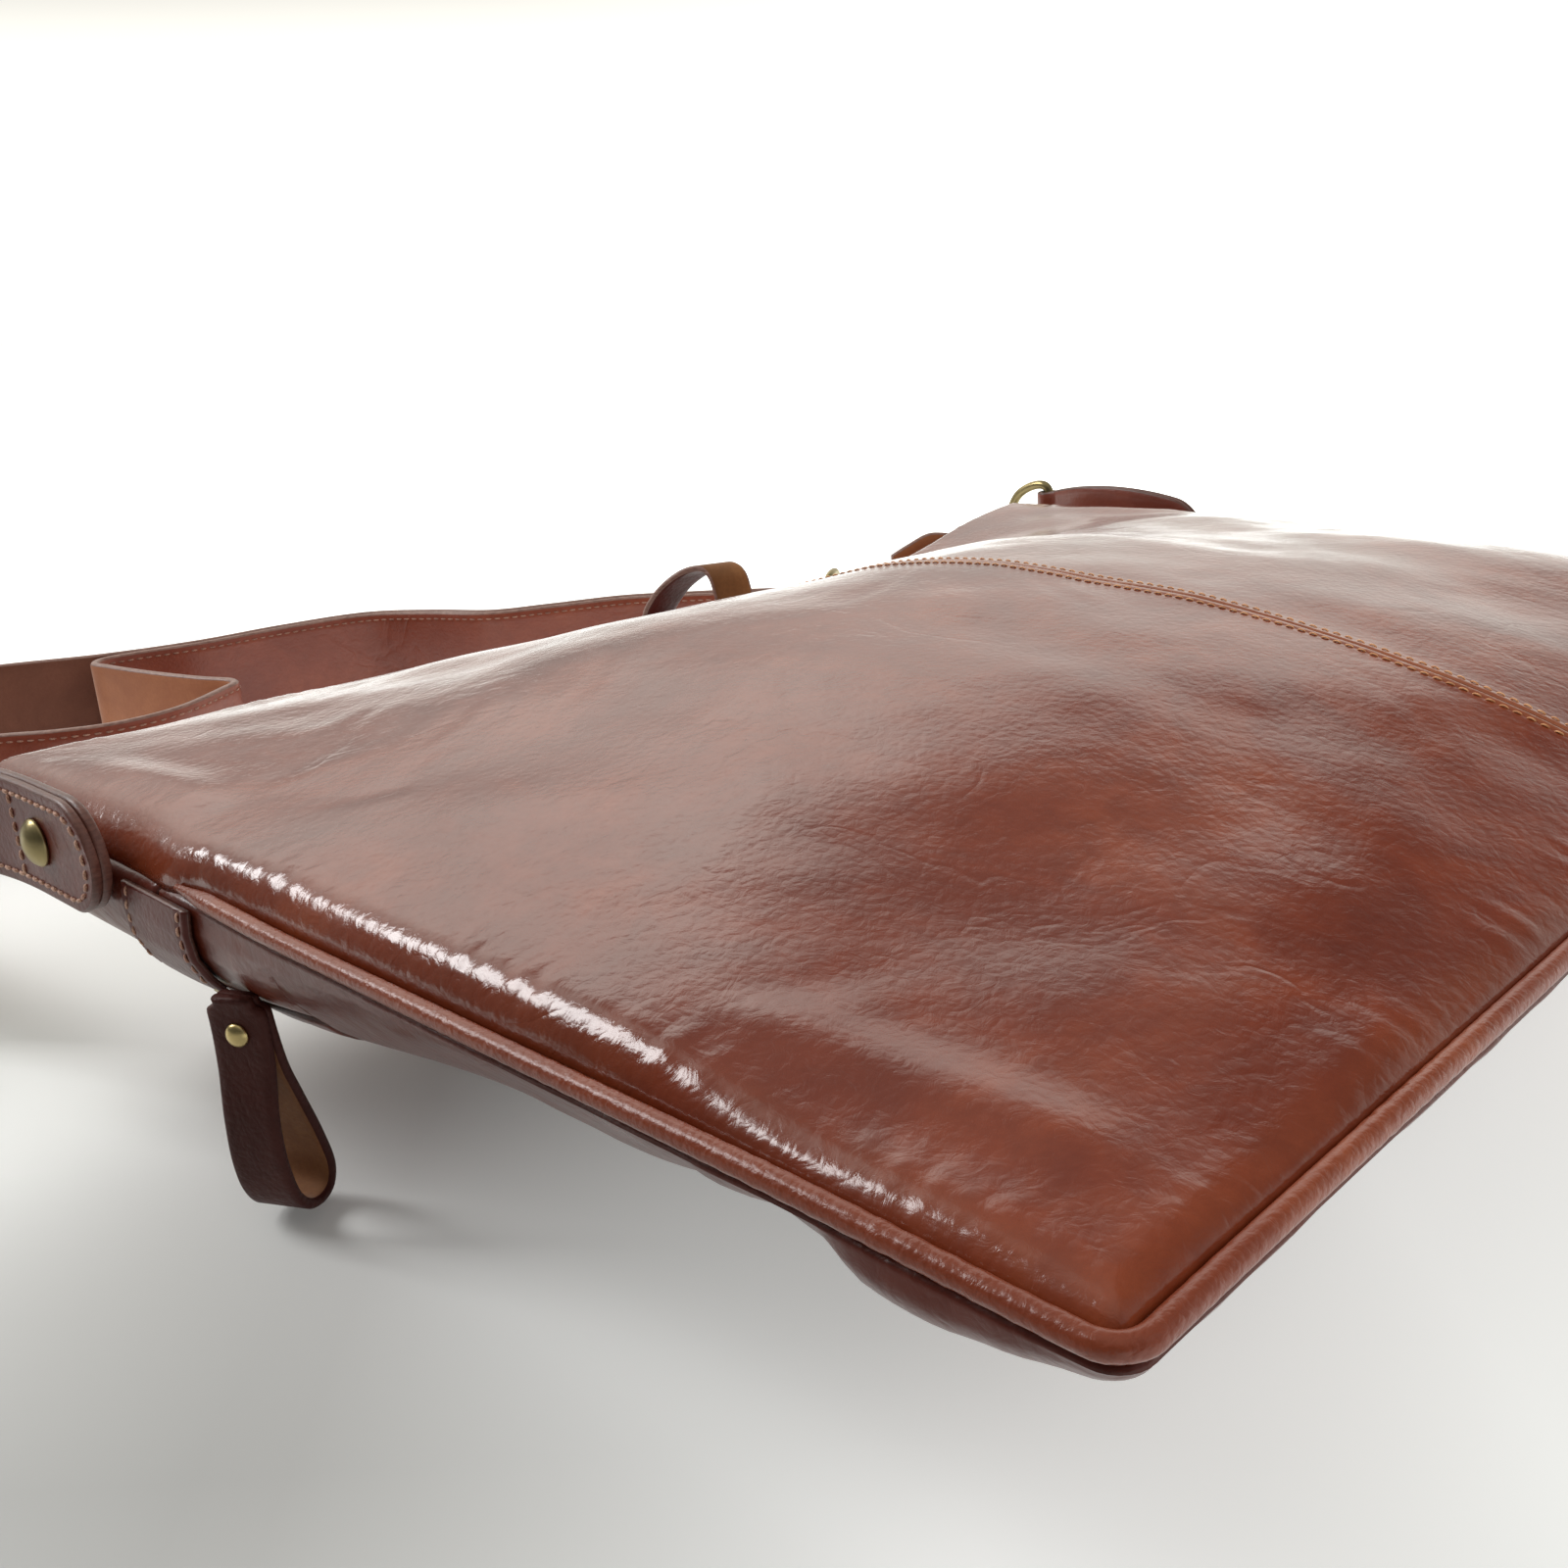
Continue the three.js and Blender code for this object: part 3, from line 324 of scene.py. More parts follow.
def join(parts):
    verts, faces, base = [], [], 0
    index = []
    for part in parts:
        v, f = part[0], part[1]
        verts.append(np.asarray(v))
        faces += [tuple(int(i) + base for i in q) for q in f]
        index += list(part[2]) if len(part) > 2 else [0] * len(f)
        base += len(v)
    return np.concatenate(verts), faces, index


def stitches(places, length, radius, rise=0.25, rings=7, sides=6):
    """Thread stitches: places are rows of (point, direction, normal); each is a short arched bead."""
    pts = np.asarray([q[0] for q in places], float)
    d = unit(np.asarray([q[1] for q in places], float))
    nn = unit(np.asarray([q[2] for q in places], float))
    nn = unit(nn - d * (nn * d).sum(-1, keepdims=True))
    s = np.cross(d, nn)
    t = np.linspace(-1, 1, rings)
    prof = radius * np.sqrt(np.maximum(0.02, 1 - np.abs(t) ** 5))
    a = np.arange(sides) / sides * 2 * math.pi
    n = len(pts)
    v = np.empty((n, rings, sides, 3))
    for i in range(rings):
        c = pts + d * (t[i] * length / 2) + nn * (rise * (1 - t[i] ** 2) - rise * 0.35)
        for j in range(sides):
            v[:, i, j] = c + nn * (math.cos(a[j]) * prof[i] * 0.8) + s * (math.sin(a[j]) * prof[i])
    one = []
    for i in range(rings - 1):
        for j in range(sides):
            k = (j + 1) % sides
            one.append((i * sides + j, i * sides + k, (i + 1) * sides + k, (i + 1) * sides + j))
    caps = [tuple(reversed(range(sides))), tuple(range((rings - 1) * sides, rings * sides))]
    faces = []
    per = rings * sides
    sample = v[0].reshape(-1, 3)
    flip = volume(sample, one + caps) < 0
    for q in range(n):
        for f in one + caps:
            g = tuple(x + q * per for x in f)
            faces.append(tuple(reversed(g)) if flip else g)
    return v.reshape(-1, 3), faces


# ------------------------------------------------------------------ materials
def mat(name):
    m = bpy.data.materials.new(name)
    m.use_nodes = True
    nt = m.node_tree
    return m, nt, nt.nodes["Principled BSDF"]


def node(nt, kind, **values):
    n = nt.nodes.new(kind)
    for k, v in values.items():
        if k.startswith("_"):
            setattr(n, k[1:], v)
        else:
            n.inputs[k.replace("__", " ")].default_value = v
    return n


def coords(nt, scale=(1, 1, 1), rotate=(0, 0, 0)):
    tc = nt.nodes.new("ShaderNodeTexCoord")
    mp = nt.nodes.new("ShaderNodeMapping")
    mp.inputs["Scale"].default_value = scale
    mp.inputs["Rotation"].default_value = rotate
    nt.links.new(tc.outputs["Object"], mp.inputs["Vector"])
    return mp.outputs["Vector"]


def noise(nt, vec, scale, detail=4.0, rough=0.55, distort=0.0):
    n = nt.nodes.new("ShaderNodeTexNoise")
    n.inputs["Scale"].default_value = scale
    n.inputs["Detail"].default_value = detail
    n.inputs["Roughness"].default_value = rough
    n.inputs["Distortion"].default_value = distort
    nt.links.new(vec, n.inputs["Vector"])
    return n.outputs["Fac"]


def ramp(nt, fac, stops, interpolation="LINEAR"):
    r = nt.nodes.new("ShaderNodeValToRGB")
    r.color_ramp.interpolation = interpolation
    el = r.color_ramp.elements
    while len(el) < len(stops):
        el.new(0.5)
    for e, (pos, col) in zip(el, stops):
        e.position = pos
        e.color = (*col, 1) if len(col) == 3 else col
    nt.links.new(fac, r.inputs["Fac"])
    return r.outputs["Color"]


def math_node(nt, op, a, b=None, clampit=False):
    n = nt.nodes.new("ShaderNodeMath")
    n.operation = op
    n.use_clamp = clampit
    for i, v in enumerate((a, b)):
        if v is None:
            continue
        if isinstance(v, (int, float)):
            n.inputs[i].default_value = v
        else:
            nt.links.new(v, n.inputs[i])
    return n.outputs[0]


def mix_color(nt, fac, a, b, blend="MIX"):
    n = nt.nodes.new("ShaderNodeMix")
    n.data_type = "RGBA"
    n.blend_type = blend
    for sock, v in ((n.inputs[0], fac), (n.inputs[6], a), (n.inputs[7], b)):
        if isinstance(v, (int, float)):
            sock.default_value = v
        elif isinstance(v, tuple):
            sock.default_value = (*v, 1)
        else:
            nt.links.new(v, sock)
    return n.outputs[2]


def remap(nt, v, a, b, c, d):
    n = nt.nodes.new("ShaderNodeMapRange")
    n.inputs[1].default_value, n.inputs[2].default_value = a, b
    n.inputs[3].default_value, n.inputs[4].default_value = c, d
    nt.links.new(v, n.inputs[0])
    return n.outputs[0]


def bump(nt, height, strength, distance, under=None):
    n = nt.nodes.new("ShaderNodeBump")
    n.inputs["Strength"].default_value = strength
    n.inputs["Distance"].default_value = distance
    nt.links.new(height, n.inputs["Height"])
    if under is not None:
        nt.links.new(under, n.inputs["Normal"])
    return n.outputs["Normal"]


def leather(name, dark, mid, light, worn=None, rough=(0.24, 0.38), grain=520.0, grain_amount=0.30, crease=0.45, coat=0.25, mottling=14.0, coat_rough=0.16, specular=0.5):
    m, nt, bsdf = mat(name)
    vec = coords(nt)
    big = noise(nt, vec, mottling, 7, 0.6, 0.8)
    col = ramp(nt, big, [(0.30, dark), (0.50, mid), (0.72, light)])
    fine = noise(nt, vec, grain * 0.32, 5, 0.6, 0.4)
    col = mix_color(nt, remap(nt, fine, 0.35, 0.7, 0.0, 0.5), col, dark)
    if worn is not None:
        at = nt.nodes.new("ShaderNodeAttribute")
        at.attribute_name = "wear"
        patchy = noise(nt, vec, 70, 5, 0.65, 0.5)
        w = math_node(nt, "MULTIPLY", at.outputs["Fac"], remap(nt, patchy, 0.3, 0.68, 0.35, 1.0))
        col = mix_color(nt, w, col, worn)
    # pebbled grain, warped so that its cells run into short worm-like wrinkles
    warp = nt.nodes.new("ShaderNodeTexNoise")
    warp.inputs["Scale"].default_value = grain * 0.45
    warp.inputs["Detail"].default_value = 2
    nt.links.new(vec, warp.inputs["Vector"])
    vm = nt.nodes.new("ShaderNodeVectorMath")
    vm.operation = "MULTIPLY_ADD"
    nt.links.new(warp.outputs["Color"], vm.inputs[0])
    vm.inputs[1].default_value = (1.6 / grain,) * 3
    nt.links.new(vec, vm.inputs[2])
    vo = nt.nodes.new("ShaderNodeTexVoronoi")
    vo.feature = "F1"
    vo.inputs["Scale"].default_value = grain
    nt.links.new(vm.outputs[0], vo.inputs["Vector"])
    worms = noise(nt, vec, grain * 0.55, 3, 0.6, 1.6)
    small = math_node(nt, "ADD", math_node(nt, "MULTIPLY", vo.outputs["Distance"], -0.7), worms)
    # fine lines that come and go, along the contours of a soft field
    field = noise(nt, vec, 26, 3, 0.55, 0.9)
    line = remap(nt, math_node(nt, "ABSOLUTE", math_node(nt, "SUBTRACT", field, 0.5)), 0.0, 0.035, 0.0, 1.0)
    where = remap(nt, noise(nt, vec, 15, 3, 0.5, 0.6), 0.46, 0.62, 0.0, 1.0)
    folds = math_node(nt, "SUBTRACT", 1.0, math_node(nt, "MULTIPLY", math_node(nt, "SUBTRACT", 1.0, line), where))
    nrm = bump(nt, folds, crease, 0.0003)
    nrm = bump(nt, small, grain_amount, 0.00035, nrm)
    nt.links.new(nrm, bsdf.inputs["Normal"])
    rr = remap(nt, noise(nt, vec, 38, 5, 0.6, 0.4), 0.3, 0.7, rough[0], rough[1])
    nt.links.new(col, bsdf.inputs["Base Color"])
    nt.links.new(rr, bsdf.inputs["Roughness"])
    bsdf.inputs["IOR"].default_value = 1.5
    bsdf.inputs["Coat Weight"].default_value = coat
    bsdf.inputs["Coat Roughness"].default_value = coat_rough
    bsdf.inputs["Specular IOR Level"].default_value = specular
    return m


def suede(name, dark, light, rough=0.85):
    m, nt, bsdf = mat(name)
    vec = coords(nt)
    a = noise(nt, vec, 34, 6, 0.65, 0.5)
    b = noise(nt, vec, 900, 3, 0.7)
    col = ramp(nt, a, [(0.3, dark), (0.7, light)])
    col = mix_color(nt, remap(nt, b, 0.35, 0.7, 0.0, 0.4), col, dark)
    nt.links.new(col, bsdf.inputs["Base Color"])
    nt.links.new(bump(nt, b, 0.35, 0.0003), bsdf.inputs["Normal"])
    bsdf.inputs["Roughness"].default_value = rough
    bsdf.inputs["Sheen Weight"].default_value = 0.25
    bsdf.inputs["Sheen Roughness"].default_value = 0.4
    return m


def cut_edge(name, dark, light, rough=0.5):
    m, nt, bsdf = mat(name)
    vec = coords(nt)
    fibres = noise(nt, coords(nt, (1, 1, 4)), 420, 5, 0.65, 0.3)
    col = ramp(nt, fibres, [(0.3, dark), (0.68, light)])
    nt.links.new(col, bsdf.inputs["Base Color"])
    nt.links.new(bump(nt, fibres, 0.3, 0.0003), bsdf.inputs["Normal"])
    bsdf.inputs["Roughness"].default_value = rough
    return m


def thread(name, dark, light):
    m, nt, bsdf = mat(name)
    vec = coords(nt, (1, 1, 1), (0.5, 0.4, 0.7))
    w = nt.nodes.new("ShaderNodeTexWave")
    w.inputs["Scale"].default_value = 620
    w.inputs["Distortion"].default_value = 2.0
    nt.links.new(vec, w.inputs["Vector"])
    n = noise(nt, vec, 160, 4, 0.6)
    col = ramp(nt, n, [(0.32, dark), (0.66, light)])
    nt.links.new(col, bsdf.inputs["Base Color"])
    nt.links.new(bump(nt, w.outputs["Fac"], 0.5, 0.0002), bsdf.inputs["Normal"])
    bsdf.inputs["Roughness"].default_value = 0.55
    bsdf.inputs["Sheen Weight"].default_value = 0.15
    return m


def metal(name, dark, light, rough=(0.24, 0.46)):
    m, nt, bsdf = mat(name)
    vec = coords(nt)
    a = noise(nt, vec, 130, 6, 0.65, 0.6)
    b = noise(nt, vec, 900, 4, 0.6)
    geo = nt.nodes.new("ShaderNodeNewGeometry")
    high = remap(nt, geo.outputs["Pointiness"], 0.47, 0.56, 0.0, 1.0)
    col = ramp(nt, a, [(0.30, dark), (0.68, light)])
    col = mix_color(nt, math_node(nt, "MULTIPLY", high, 0.5), col, tuple(min(1.0, c * 1.35) for c in light))
    nt.links.new(col, bsdf.inputs["Base Color"])
    nt.links.new(remap(nt, a, 0.3, 0.7, rough[0], rough[1]), bsdf.inputs["Roughness"])
    nt.links.new(bump(nt, b, 0.12, 0.0002), bsdf.inputs["Normal"])
    bsdf.inputs["Metallic"].default_value = 1.0
    return m


def woven(name, dark, light, scale=700):
    m, nt, bsdf = mat(name)
    vec = coords(nt, (1, 1, 1), (0.0, 0.0, 0.78))
    ws = []
    for axis in ("X", "Y"):
        w = nt.nodes.new("ShaderNodeTexWave")
        w.bands_direction = axis
        w.inputs["Scale"].default_value = scale
        w.inputs["Distortion"].default_value = 0.6
        nt.links.new(vec, w.inputs["Vector"])
        ws.append(w.outputs["Fac"])
    weave = math_node(nt, "MULTIPLY", ws[0], ws[1])
    col = ramp(nt, weave, [(0.1, dark), (0.8, light)])
    nt.links.new(col, bsdf.inputs["Base Color"])
    nt.links.new(bump(nt, weave, 0.5, 0.0003), bsdf.inputs["Normal"])
    bsdf.inputs["Roughness"].default_value = 0.8
    return m


M_PANEL = leather("panel_leather", (0.118, 0.0165, 0.006), (0.188, 0.031, 0.0110), (0.265, 0.053, 0.018), worn=(0.36, 0.11, 0.038), rough=(0.12, 0.22), grain_amount=0.24, crease=0.22, coat=0.14, mottling=19.0, coat_rough=0.08)
M_GUSSET = leather("gusset_leather", (0.080, 0.0135, 0.007), (0.118, 0.021, 0.0105), (0.155, 0.031, 0.015), worn=(0.30, 0.085, 0.035), rough=(0.26, 0.38), coat=0.10, specular=0.30)
M_PIPING = leather("piping_leather", (0.175, 0.034, 0.014), (0.220, 0.047, 0.019), (0.30, 0.076, 0.030), rough=(0.24, 0.36), grain=900, grain_amount=0.4, crease=0.2, coat=0.15, specular=0.32)
M_TAB = leather("tab_leather", (0.076, 0.0130, 0.0085), (0.108, 0.0190, 0.0122), (0.145, 0.0285, 0.018), rough=(0.32, 0.44), grain=700, grain_amount=0.35, coat=0.08, specular=0.24)
M_PULL = leather("pull_leather", (0.046, 0.0125, 0.0095), (0.066, 0.0175, 0.0135), (0.090, 0.025, 0.019), rough=(0.42, 0.56), grain=800, grain_amount=0.5, coat=0.0, specular=0.16)
M_STRAP = leather("strap_leather", (0.180, 0.036, 0.018), (0.240, 0.053, 0.027), (0.300, 0.076, 0.038), rough=(0.28, 0.42), grain=800, grain_amount=0.28, mottling=22)
M_FLESH = suede("strap_flesh", (0.30, 0.100, 0.040), (0.46, 0.18, 0.072))
# a darker copy of the strap's flesh side, used as painted shade on the doubled length
M_FLESH_PAINTED_SHADE = suede("strap_flesh_painted_shade", (0.125, 0.042, 0.024), (0.20, 0.075, 0.044))
M_SUEDE = suede("pull_suede", (0.16, 0.064, 0.022), (0.36, 0.155, 0.054))
M_INSIDE = suede("leather_inside", (0.115, 0.058, 0.034), (0.175, 0.092, 0.055))
M_EDGE = cut_edge("strap_edge", (0.16, 0.075, 0.055), (0.32, 0.18, 0.14), 0.42)
M_DARK_EDGE = cut_edge("dark_edge", (0.075, 0.026, 0.019), (0.155, 0.062, 0.044), 0.4)
M_THREAD_SEAM = thread("seam_thread", (0.62, 0.26, 0.10), (0.88, 0.46, 0.21))
M_THREAD = thread("tab_thread", (0.42, 0.185, 0.115), (0.68, 0.40, 0.275))
M_THREAD_STRAP = thread("strap_thread", (0.25, 0.105, 0.068), (0.42, 0.21, 0.14))
M_BRASS = metal("antique_brass", (0.125, 0.098, 0.045), (0.34, 0.275, 0.135))
M_RIVET = metal("rivet_brass", (0.26, 0.20, 0.085), (0.56, 0.44, 0.20), (0.2, 0.34))
M_TAPE = woven("zip_tape", (0.014, 0.008, 0.006), (0.045, 0.026, 0.020))
M_TEETH = metal("zip_teeth", (0.11, 0.088, 0.045), (0.32, 0.26, 0.14), (0.28, 0.44))


# ------------------------------------------------------------------ body form
def on_outline(q, inset):
    q = q % 9
    a, b, r = A - inset, B - inset, max(CORNER_R - 0.42 * inset, 4.5)
    seg = int(math.floor(q))
    f = q - seg

    def arc(cx, cy, a0):
        t = a0 + f * math.pi / 2
        return cx + r * math.cos(t), cy + r * math.sin(t)
    if seg == 0:
        return lerp(0, -(a - r), f), b
    if seg == 1:
        return arc(-(a - r), b - r, math.pi / 2)
    if seg == 2:
        return -a, lerp(b - r, -(b - r), f)
    if seg == 3:
        return arc(-(a - r), -(b - r), math.pi)
    if seg == 4:
        return lerp(-(a - r), a - r, f), -b
    if seg == 5:
        return arc(a - r, -(b - r), -math.pi / 2)
    if seg == 6:
        return a, lerp(-(b - r), b - r, f)
    if seg == 7:
        return arc(a - r, b - r, 0)
    return lerp(a - r, 0, f), b


def left_q(y):
    return 2 + (B - CORNER_R - y) / (2 * (B - CORNER_R))


def right_q(y):
    return 6 + (y + B - CORNER_R) / (2 * (B - CORNER_R)) - 9


def top_right_q(x):
    return -x / (A - CORNER_R)


ARC = CORNER_R * math.pi / 2
LENGTH = [A - CORNER_R, ARC, 2 * (B - CORNER_R), ARC, 2 * (A - CORNER_R), ARC, 2 * (B - CORNER_R), ARC, A - CORNER_R]


def stations(q0, q1, step, extra=()):
    cuts = [q0, q1, *extra, *range(math.ceil(q0), math.floor(q1) + 1)]
    cuts = sorted({round(c, 9) for c in cuts if q0 - 1e-9 <= c <= q1 + 1e-9})
    out = []
    for c0, c1 in zip(cuts[:-1], cuts[1:]):
        seg = int(math.floor((c0 + c1) / 2)) % 9
        n = max(1, math.ceil((c1 - c0) * LENGTH[seg] / (step if seg % 2 == 0 or seg == 8 else min(step, 1.4))))
        out += [lerp(c0, c1, k / n) for k in range(n)]
    return out + [cuts[-1]]


SECTION = [
    # k, upper, lower, corner: (inset, drop)
    (0.00, (1.0, 2.3), (1.0, 2.75), (1.0, 2.75)),
    (0.20, (0.4, 7.5), (2.2, 5.0), (0.9, 6.0)),
    (0.40, (0.8, 12.5), (4.4, 8.2), (2.4, 9.8)),
    (0.55, (2.6, 16.8), (6.8, 11.0), (5.0, 12.6)),
    (0.66, (5.0, 20.2), (8.8, 13.2), (7.6, 14.4)),
    (0.84, (10.0, 25.4), (12.0, 16.8), (11.6, 17.0)),
    (1.00, (FRONT_INSET, 30.0), (FRONT_INSET, 20.0), (FRONT_INSET, 20.0)),
]


def gape(x, y):
    return smooth(TOP_SLIDER_X + 4, TOP_SLIDER_X + 60, x) * smooth(40, 120, y)


def upper_share(y):
    return smooth(-45, 62, y)


def sag(x, y):
    """How far the unheld top edge sinks right of the middle, and the ends and the bottom edge slump."""
    held = smooth(-99, 20, x)
    u = clamp(np.abs(x) / A, 0.0, 1.0)
    slump = 1.2 * smooth(60, 10, y) * u ** 6 + smooth(-95, -B, y) * (1.0 + 2.4 * (1 - u * u))
    return slump + (SAG * held * (1 - smooth(91, 180, x)) + 0.85 * smooth(-150, -90, x) * (1 - held)) * smooth(20, 150, y)


def tuck(x, y):
    """How far the lower gusset is drawn up near the left bottom corner."""
    return np.where(np.asarray(x) < 0, 3.0 * np.exp(-((np.asarray(y) + 92) / 15) ** 2) * smooth(150, 175, np.abs(x)), 0.0)


def section(q, k):
    """Point of the gusset; k below 0 runs in under the piping and the panel's rim."""
    x0, y0 = on_outline(q, 0)
    low = float(sag(x0, y0))
    up = float(upper_share(y0))
    if k < 0:
        x, y = on_outline(q, lerp(1.0, 5.2, min(1.0, -k)))
        return x, y, EDGE_Z - low - (lerp(2.75, 2.3, up) - 0.9 * math.sin(math.pi * min(1.0, -k)))
    co = 0.3 * math.exp(-((y0 + 122) / 12) ** 2) * math.exp(-((A - abs(x0)) / 14) ** 2)
    ga = gape(x0, y0)
    i = 0
    while i + 2 < len(SECTION) and SECTION[i + 1][0] <= k:
        i += 1
    s0, s1 = SECTION[i], SECTION[i + 1]
    t = clamp((k - s0[0]) / (s1[0] - s0[0]), 0, 1)

    def mix(row, c):
        return lerp(lerp(row[2][c], row[3][c], co), row[1][c], up)
    left = clamp(1 - k / 0.6, 0, 1)
    inset = lerp(mix(s0, 0), mix(s1, 0), t) - 0.08 * low * math.sin(math.pi * left)
    drop = lerp(mix(s0, 1), mix(s1, 1), t) + GAPE * ga * smooth(0.69, 0.80, k) + low * left - float(tuck(x0, y0)) * smooth(0.25, 0.8, k)
    # pinched just above the bottom corners
    belly = math.sin(math.pi * min(1.0, k / 0.75))
    side = smooth(A - 30, A - 6, abs(x0))
    inset += side * belly * 1.6 * math.exp(-((y0 + 104) / 6.5) ** 2)
    # swelling out again below the near corner
    bag = smooth(-102, -115, y0) * (1 - 0.8 * smooth(-126, -146, y0)) * math.exp(-((A - abs(x0)) / 15) ** 2)
    inset -= 1.5 * bag * belly
    drop += 1.8 * bag * belly
    x, y = on_outline(q, inset)
    return x, y, EDGE_Z - drop


def front_rim_z(x, y):
    return EDGE_Z - GAP - lerp(20, 30, upper_share(y)) - GAPE * gape(x, y) + tuck(x, y)


def rim_distance(x, y, a, b, r):
    qx, qy = np.abs(x) - (a - r), np.abs(y) - (b - r)
    return r - np.hypot(np.maximum(qx, 0), np.maximum(qy, 0)) - np.minimum(np.maximum(qx, qy), 0)


DENTS = [
    # x, y, radius along x, radius along y, height
    (-120, -96, 60, 26, -1.6), (-60, -60, 46, 30, 1.3), (-118, 12, 40, 30, -1.2),
    (-70, 62, 50, 26, 1.2), (-150, 78, 30, 40, -1.3), (40, -98, 50, 24, -1.3),
    (96, 20, 44, 60, -1.5), (130, -70, 40, 40, 1.2), (110, 90, 46, 26, -1.0),
]
W_BIG = Waves(11, 22, 62, 130)
W_MID = Waves(12, 30, 24, 52, stretch=(1.2, 0.8))
W_FINE = Waves(17, 40, 8, 20)
W_PUCK = Waves(15, 34, 3.2, 8.0, dim=1)
W_PUCK2 = Waves(16, 20, 24, 80, dim=1)
CREASES = [
    # from, to, depth, width, bow
    (-168, -45, -118, -6, 0.55, 4.2, 6), (-150, 60, -128, 84, 0.40, 2.0, -3), (-146, 46, -116, 60, 0.32, 1.8, 3),
    (-166, 44, -150, 30, 0.45, 2.4, 2), (-171, 66, -150, 70, 0.5, 3.0, 4), (-120, 30, -88, 52, 0.28, 1.7, 3),
    (-104, -20, -66, 4, 0.30, 2.2, -4), (-40, 20, -4, 34, 0.30, 2.0, 2), (-20, -30, -3, -2, 0.32, 1.8, -2),
    (20, -70, 70, -52, 0.30, 2.4, 3), (60, 10, 118, 26, 0.30, 2.6, -4), (-176, -70, -150, -88, 0.40, 2.8, 3),
    (-96, -110, -60, -96, 0.30, 2.4, -3), (-30, -112, -12, -80, 0.28, 2.2, 2), (90, -110, 130, -84, 0.35, 2.6, 3),
    (-60, 100, -20, 112, 0.4, 2.8, 3), (-130, 112, -100, 126, 0.4, 2.6, -2), (40, 70, 96, 92, 0.4, 3.0, 3), (110, 60, 160, 70, 0.35, 2.6, -3),
]


def crease_depth(x, y):
    out = np.zeros(np.broadcast(x, y).shape)
    for x0, y0, x1, y1, depth, width, bow in CREASES:
        lx, ly = x1 - x0, y1 - y0
        l2 = lx * lx + ly * ly
        t = ((x - x0) * lx + (y - y0) * ly) / l2
        off = ((x - x0) * ly - (y - y0) * lx) / math.sqrt(l2) - bow * (4 * t * (1 - t))
        ends = smooth(-0.05, 0.3, t) * (1 - smooth(0.7, 1.05, t))
        width = 1.35 * width
        out = out + ends * 0.5 * depth * (np.exp(-(off / width) ** 2) - 0.55 * np.exp(-((off - 1.9 * width) / (1.3 * width)) ** 2))
    return out


def back_height(x, y, detail=True):
    x, y = np.asarray(x, float), np.asarray(y, float)
    a, b = A - PANEL_INSET, B - PANEL_INSET
    u = clamp(np.abs(x) / (A - 5), 0, 1)
    v = clamp((y - CROWN_Y) / np.where(y < CROWN_Y, B - 2 + CROWN_Y, B - 5 - CROWN_Y), -1, 1)
    dome = (1 - u ** 2.3) * (1 - v * v)
    roll = PANEL_ROLL - np.where(x < 0, 4.2 * smooth(-55, -108, y), 5.0 * smooth(25, -70, y))
    edge = roll * u ** 3 + 2.6 * np.maximum(v, 0) ** 3 * (1 - u ** 3) + 0.8
    z = CROWN * dome + edge * (1 - dome)
    for dx, dy, rx, ry, h in DENTS:
        z = z + h * np.exp(-((x - dx) / rx) ** 2 - ((y - dy) / ry) ** 2) * smooth(0, 0.5, dome)
    d = rim_distance(x, y, a, b, CORNER_R - PANEL_INSET + 1)
    if detail:
        inner = smooth(6, 30, d)
        z = z + (0.44 * W_BIG(x, y) + 0.165 * W_MID(x, y) + 0.022 * W_FINE(x, y)) * inner
        z = z - crease_depth(x, y) * smooth(4, 14, d)
        s = np.where(np.abs(x) / a > np.abs(y) / b, y, x)
        band = smooth(0.5, 3.0, d) * (1 - smooth(5, 15, d))
        z = z + (0.085 * W_PUCK(s) * (0.6 + 0.5 * clamp(W_PUCK2(s), -1, 1)) + 0.16 * W_PUCK2(s)) * band * smooth(0.0, 0.06, np.abs(np.abs(x) / a - np.abs(y) / b))
        # soft ridge running from the near bottom corner up along the side
        ridge = np.abs(x + 172 + 0.10 * (y + 100)) / 6.0
        z = z + 1.1 * np.exp(-ridge ** 2) * smooth(-140, -120, y) * (1 - smooth(-95, -60, y))
        # pushed up round the tabs' ends
        z = z + 1.5 * np.exp(-((d - 13) / 6.5) ** 2) * smooth(56, 72, y) * (1 - smooth(92, 132, y)) * (np.abs(x) > 120)
        z = z + (0.32 * np.exp(-(x / 3.4) ** 4) - 0.14 * np.exp(-((np.abs(x) - 2.6) / 0.6) ** 2) - 0.25 * np.exp(-(x / 0.45) ** 2)) * smooth(2, 9, d)
    f = clamp(d / 6.5, 0, 1)
    rim = -1.0 - 1.0 * smooth(46, 56, y)
    return EDGE_Z - sag(x, y) + rim + (z - rim) * np.sqrt(np.maximum(0, 1 - (1 - f) ** 2))


W_FRONT = Waves(21, 26, 30, 90)


def front_height(x, y):
    a, b = A - FRONT_RIM, B - FRONT_RIM
    u, v = clamp(np.abs(x) / a, 0, 1), clamp(np.abs(y) / b, 0, 1)
    dome = (1 - u ** 2.2) * (1 - v ** 2.2)
    rim = front_rim_z(x, y)
    low = rim - (rim + 10) * dome ** 0.9
    low = low + 0.5 * W_FRONT(x, y) * smooth(0.0, 0.15, dome) * smooth(1.0, 8.0, low)
    # a soft turn where the leather meets the surface
    return np.where(low > 3, low, np.where(low < -3, 0.0, (low + 3) ** 2 / 12))


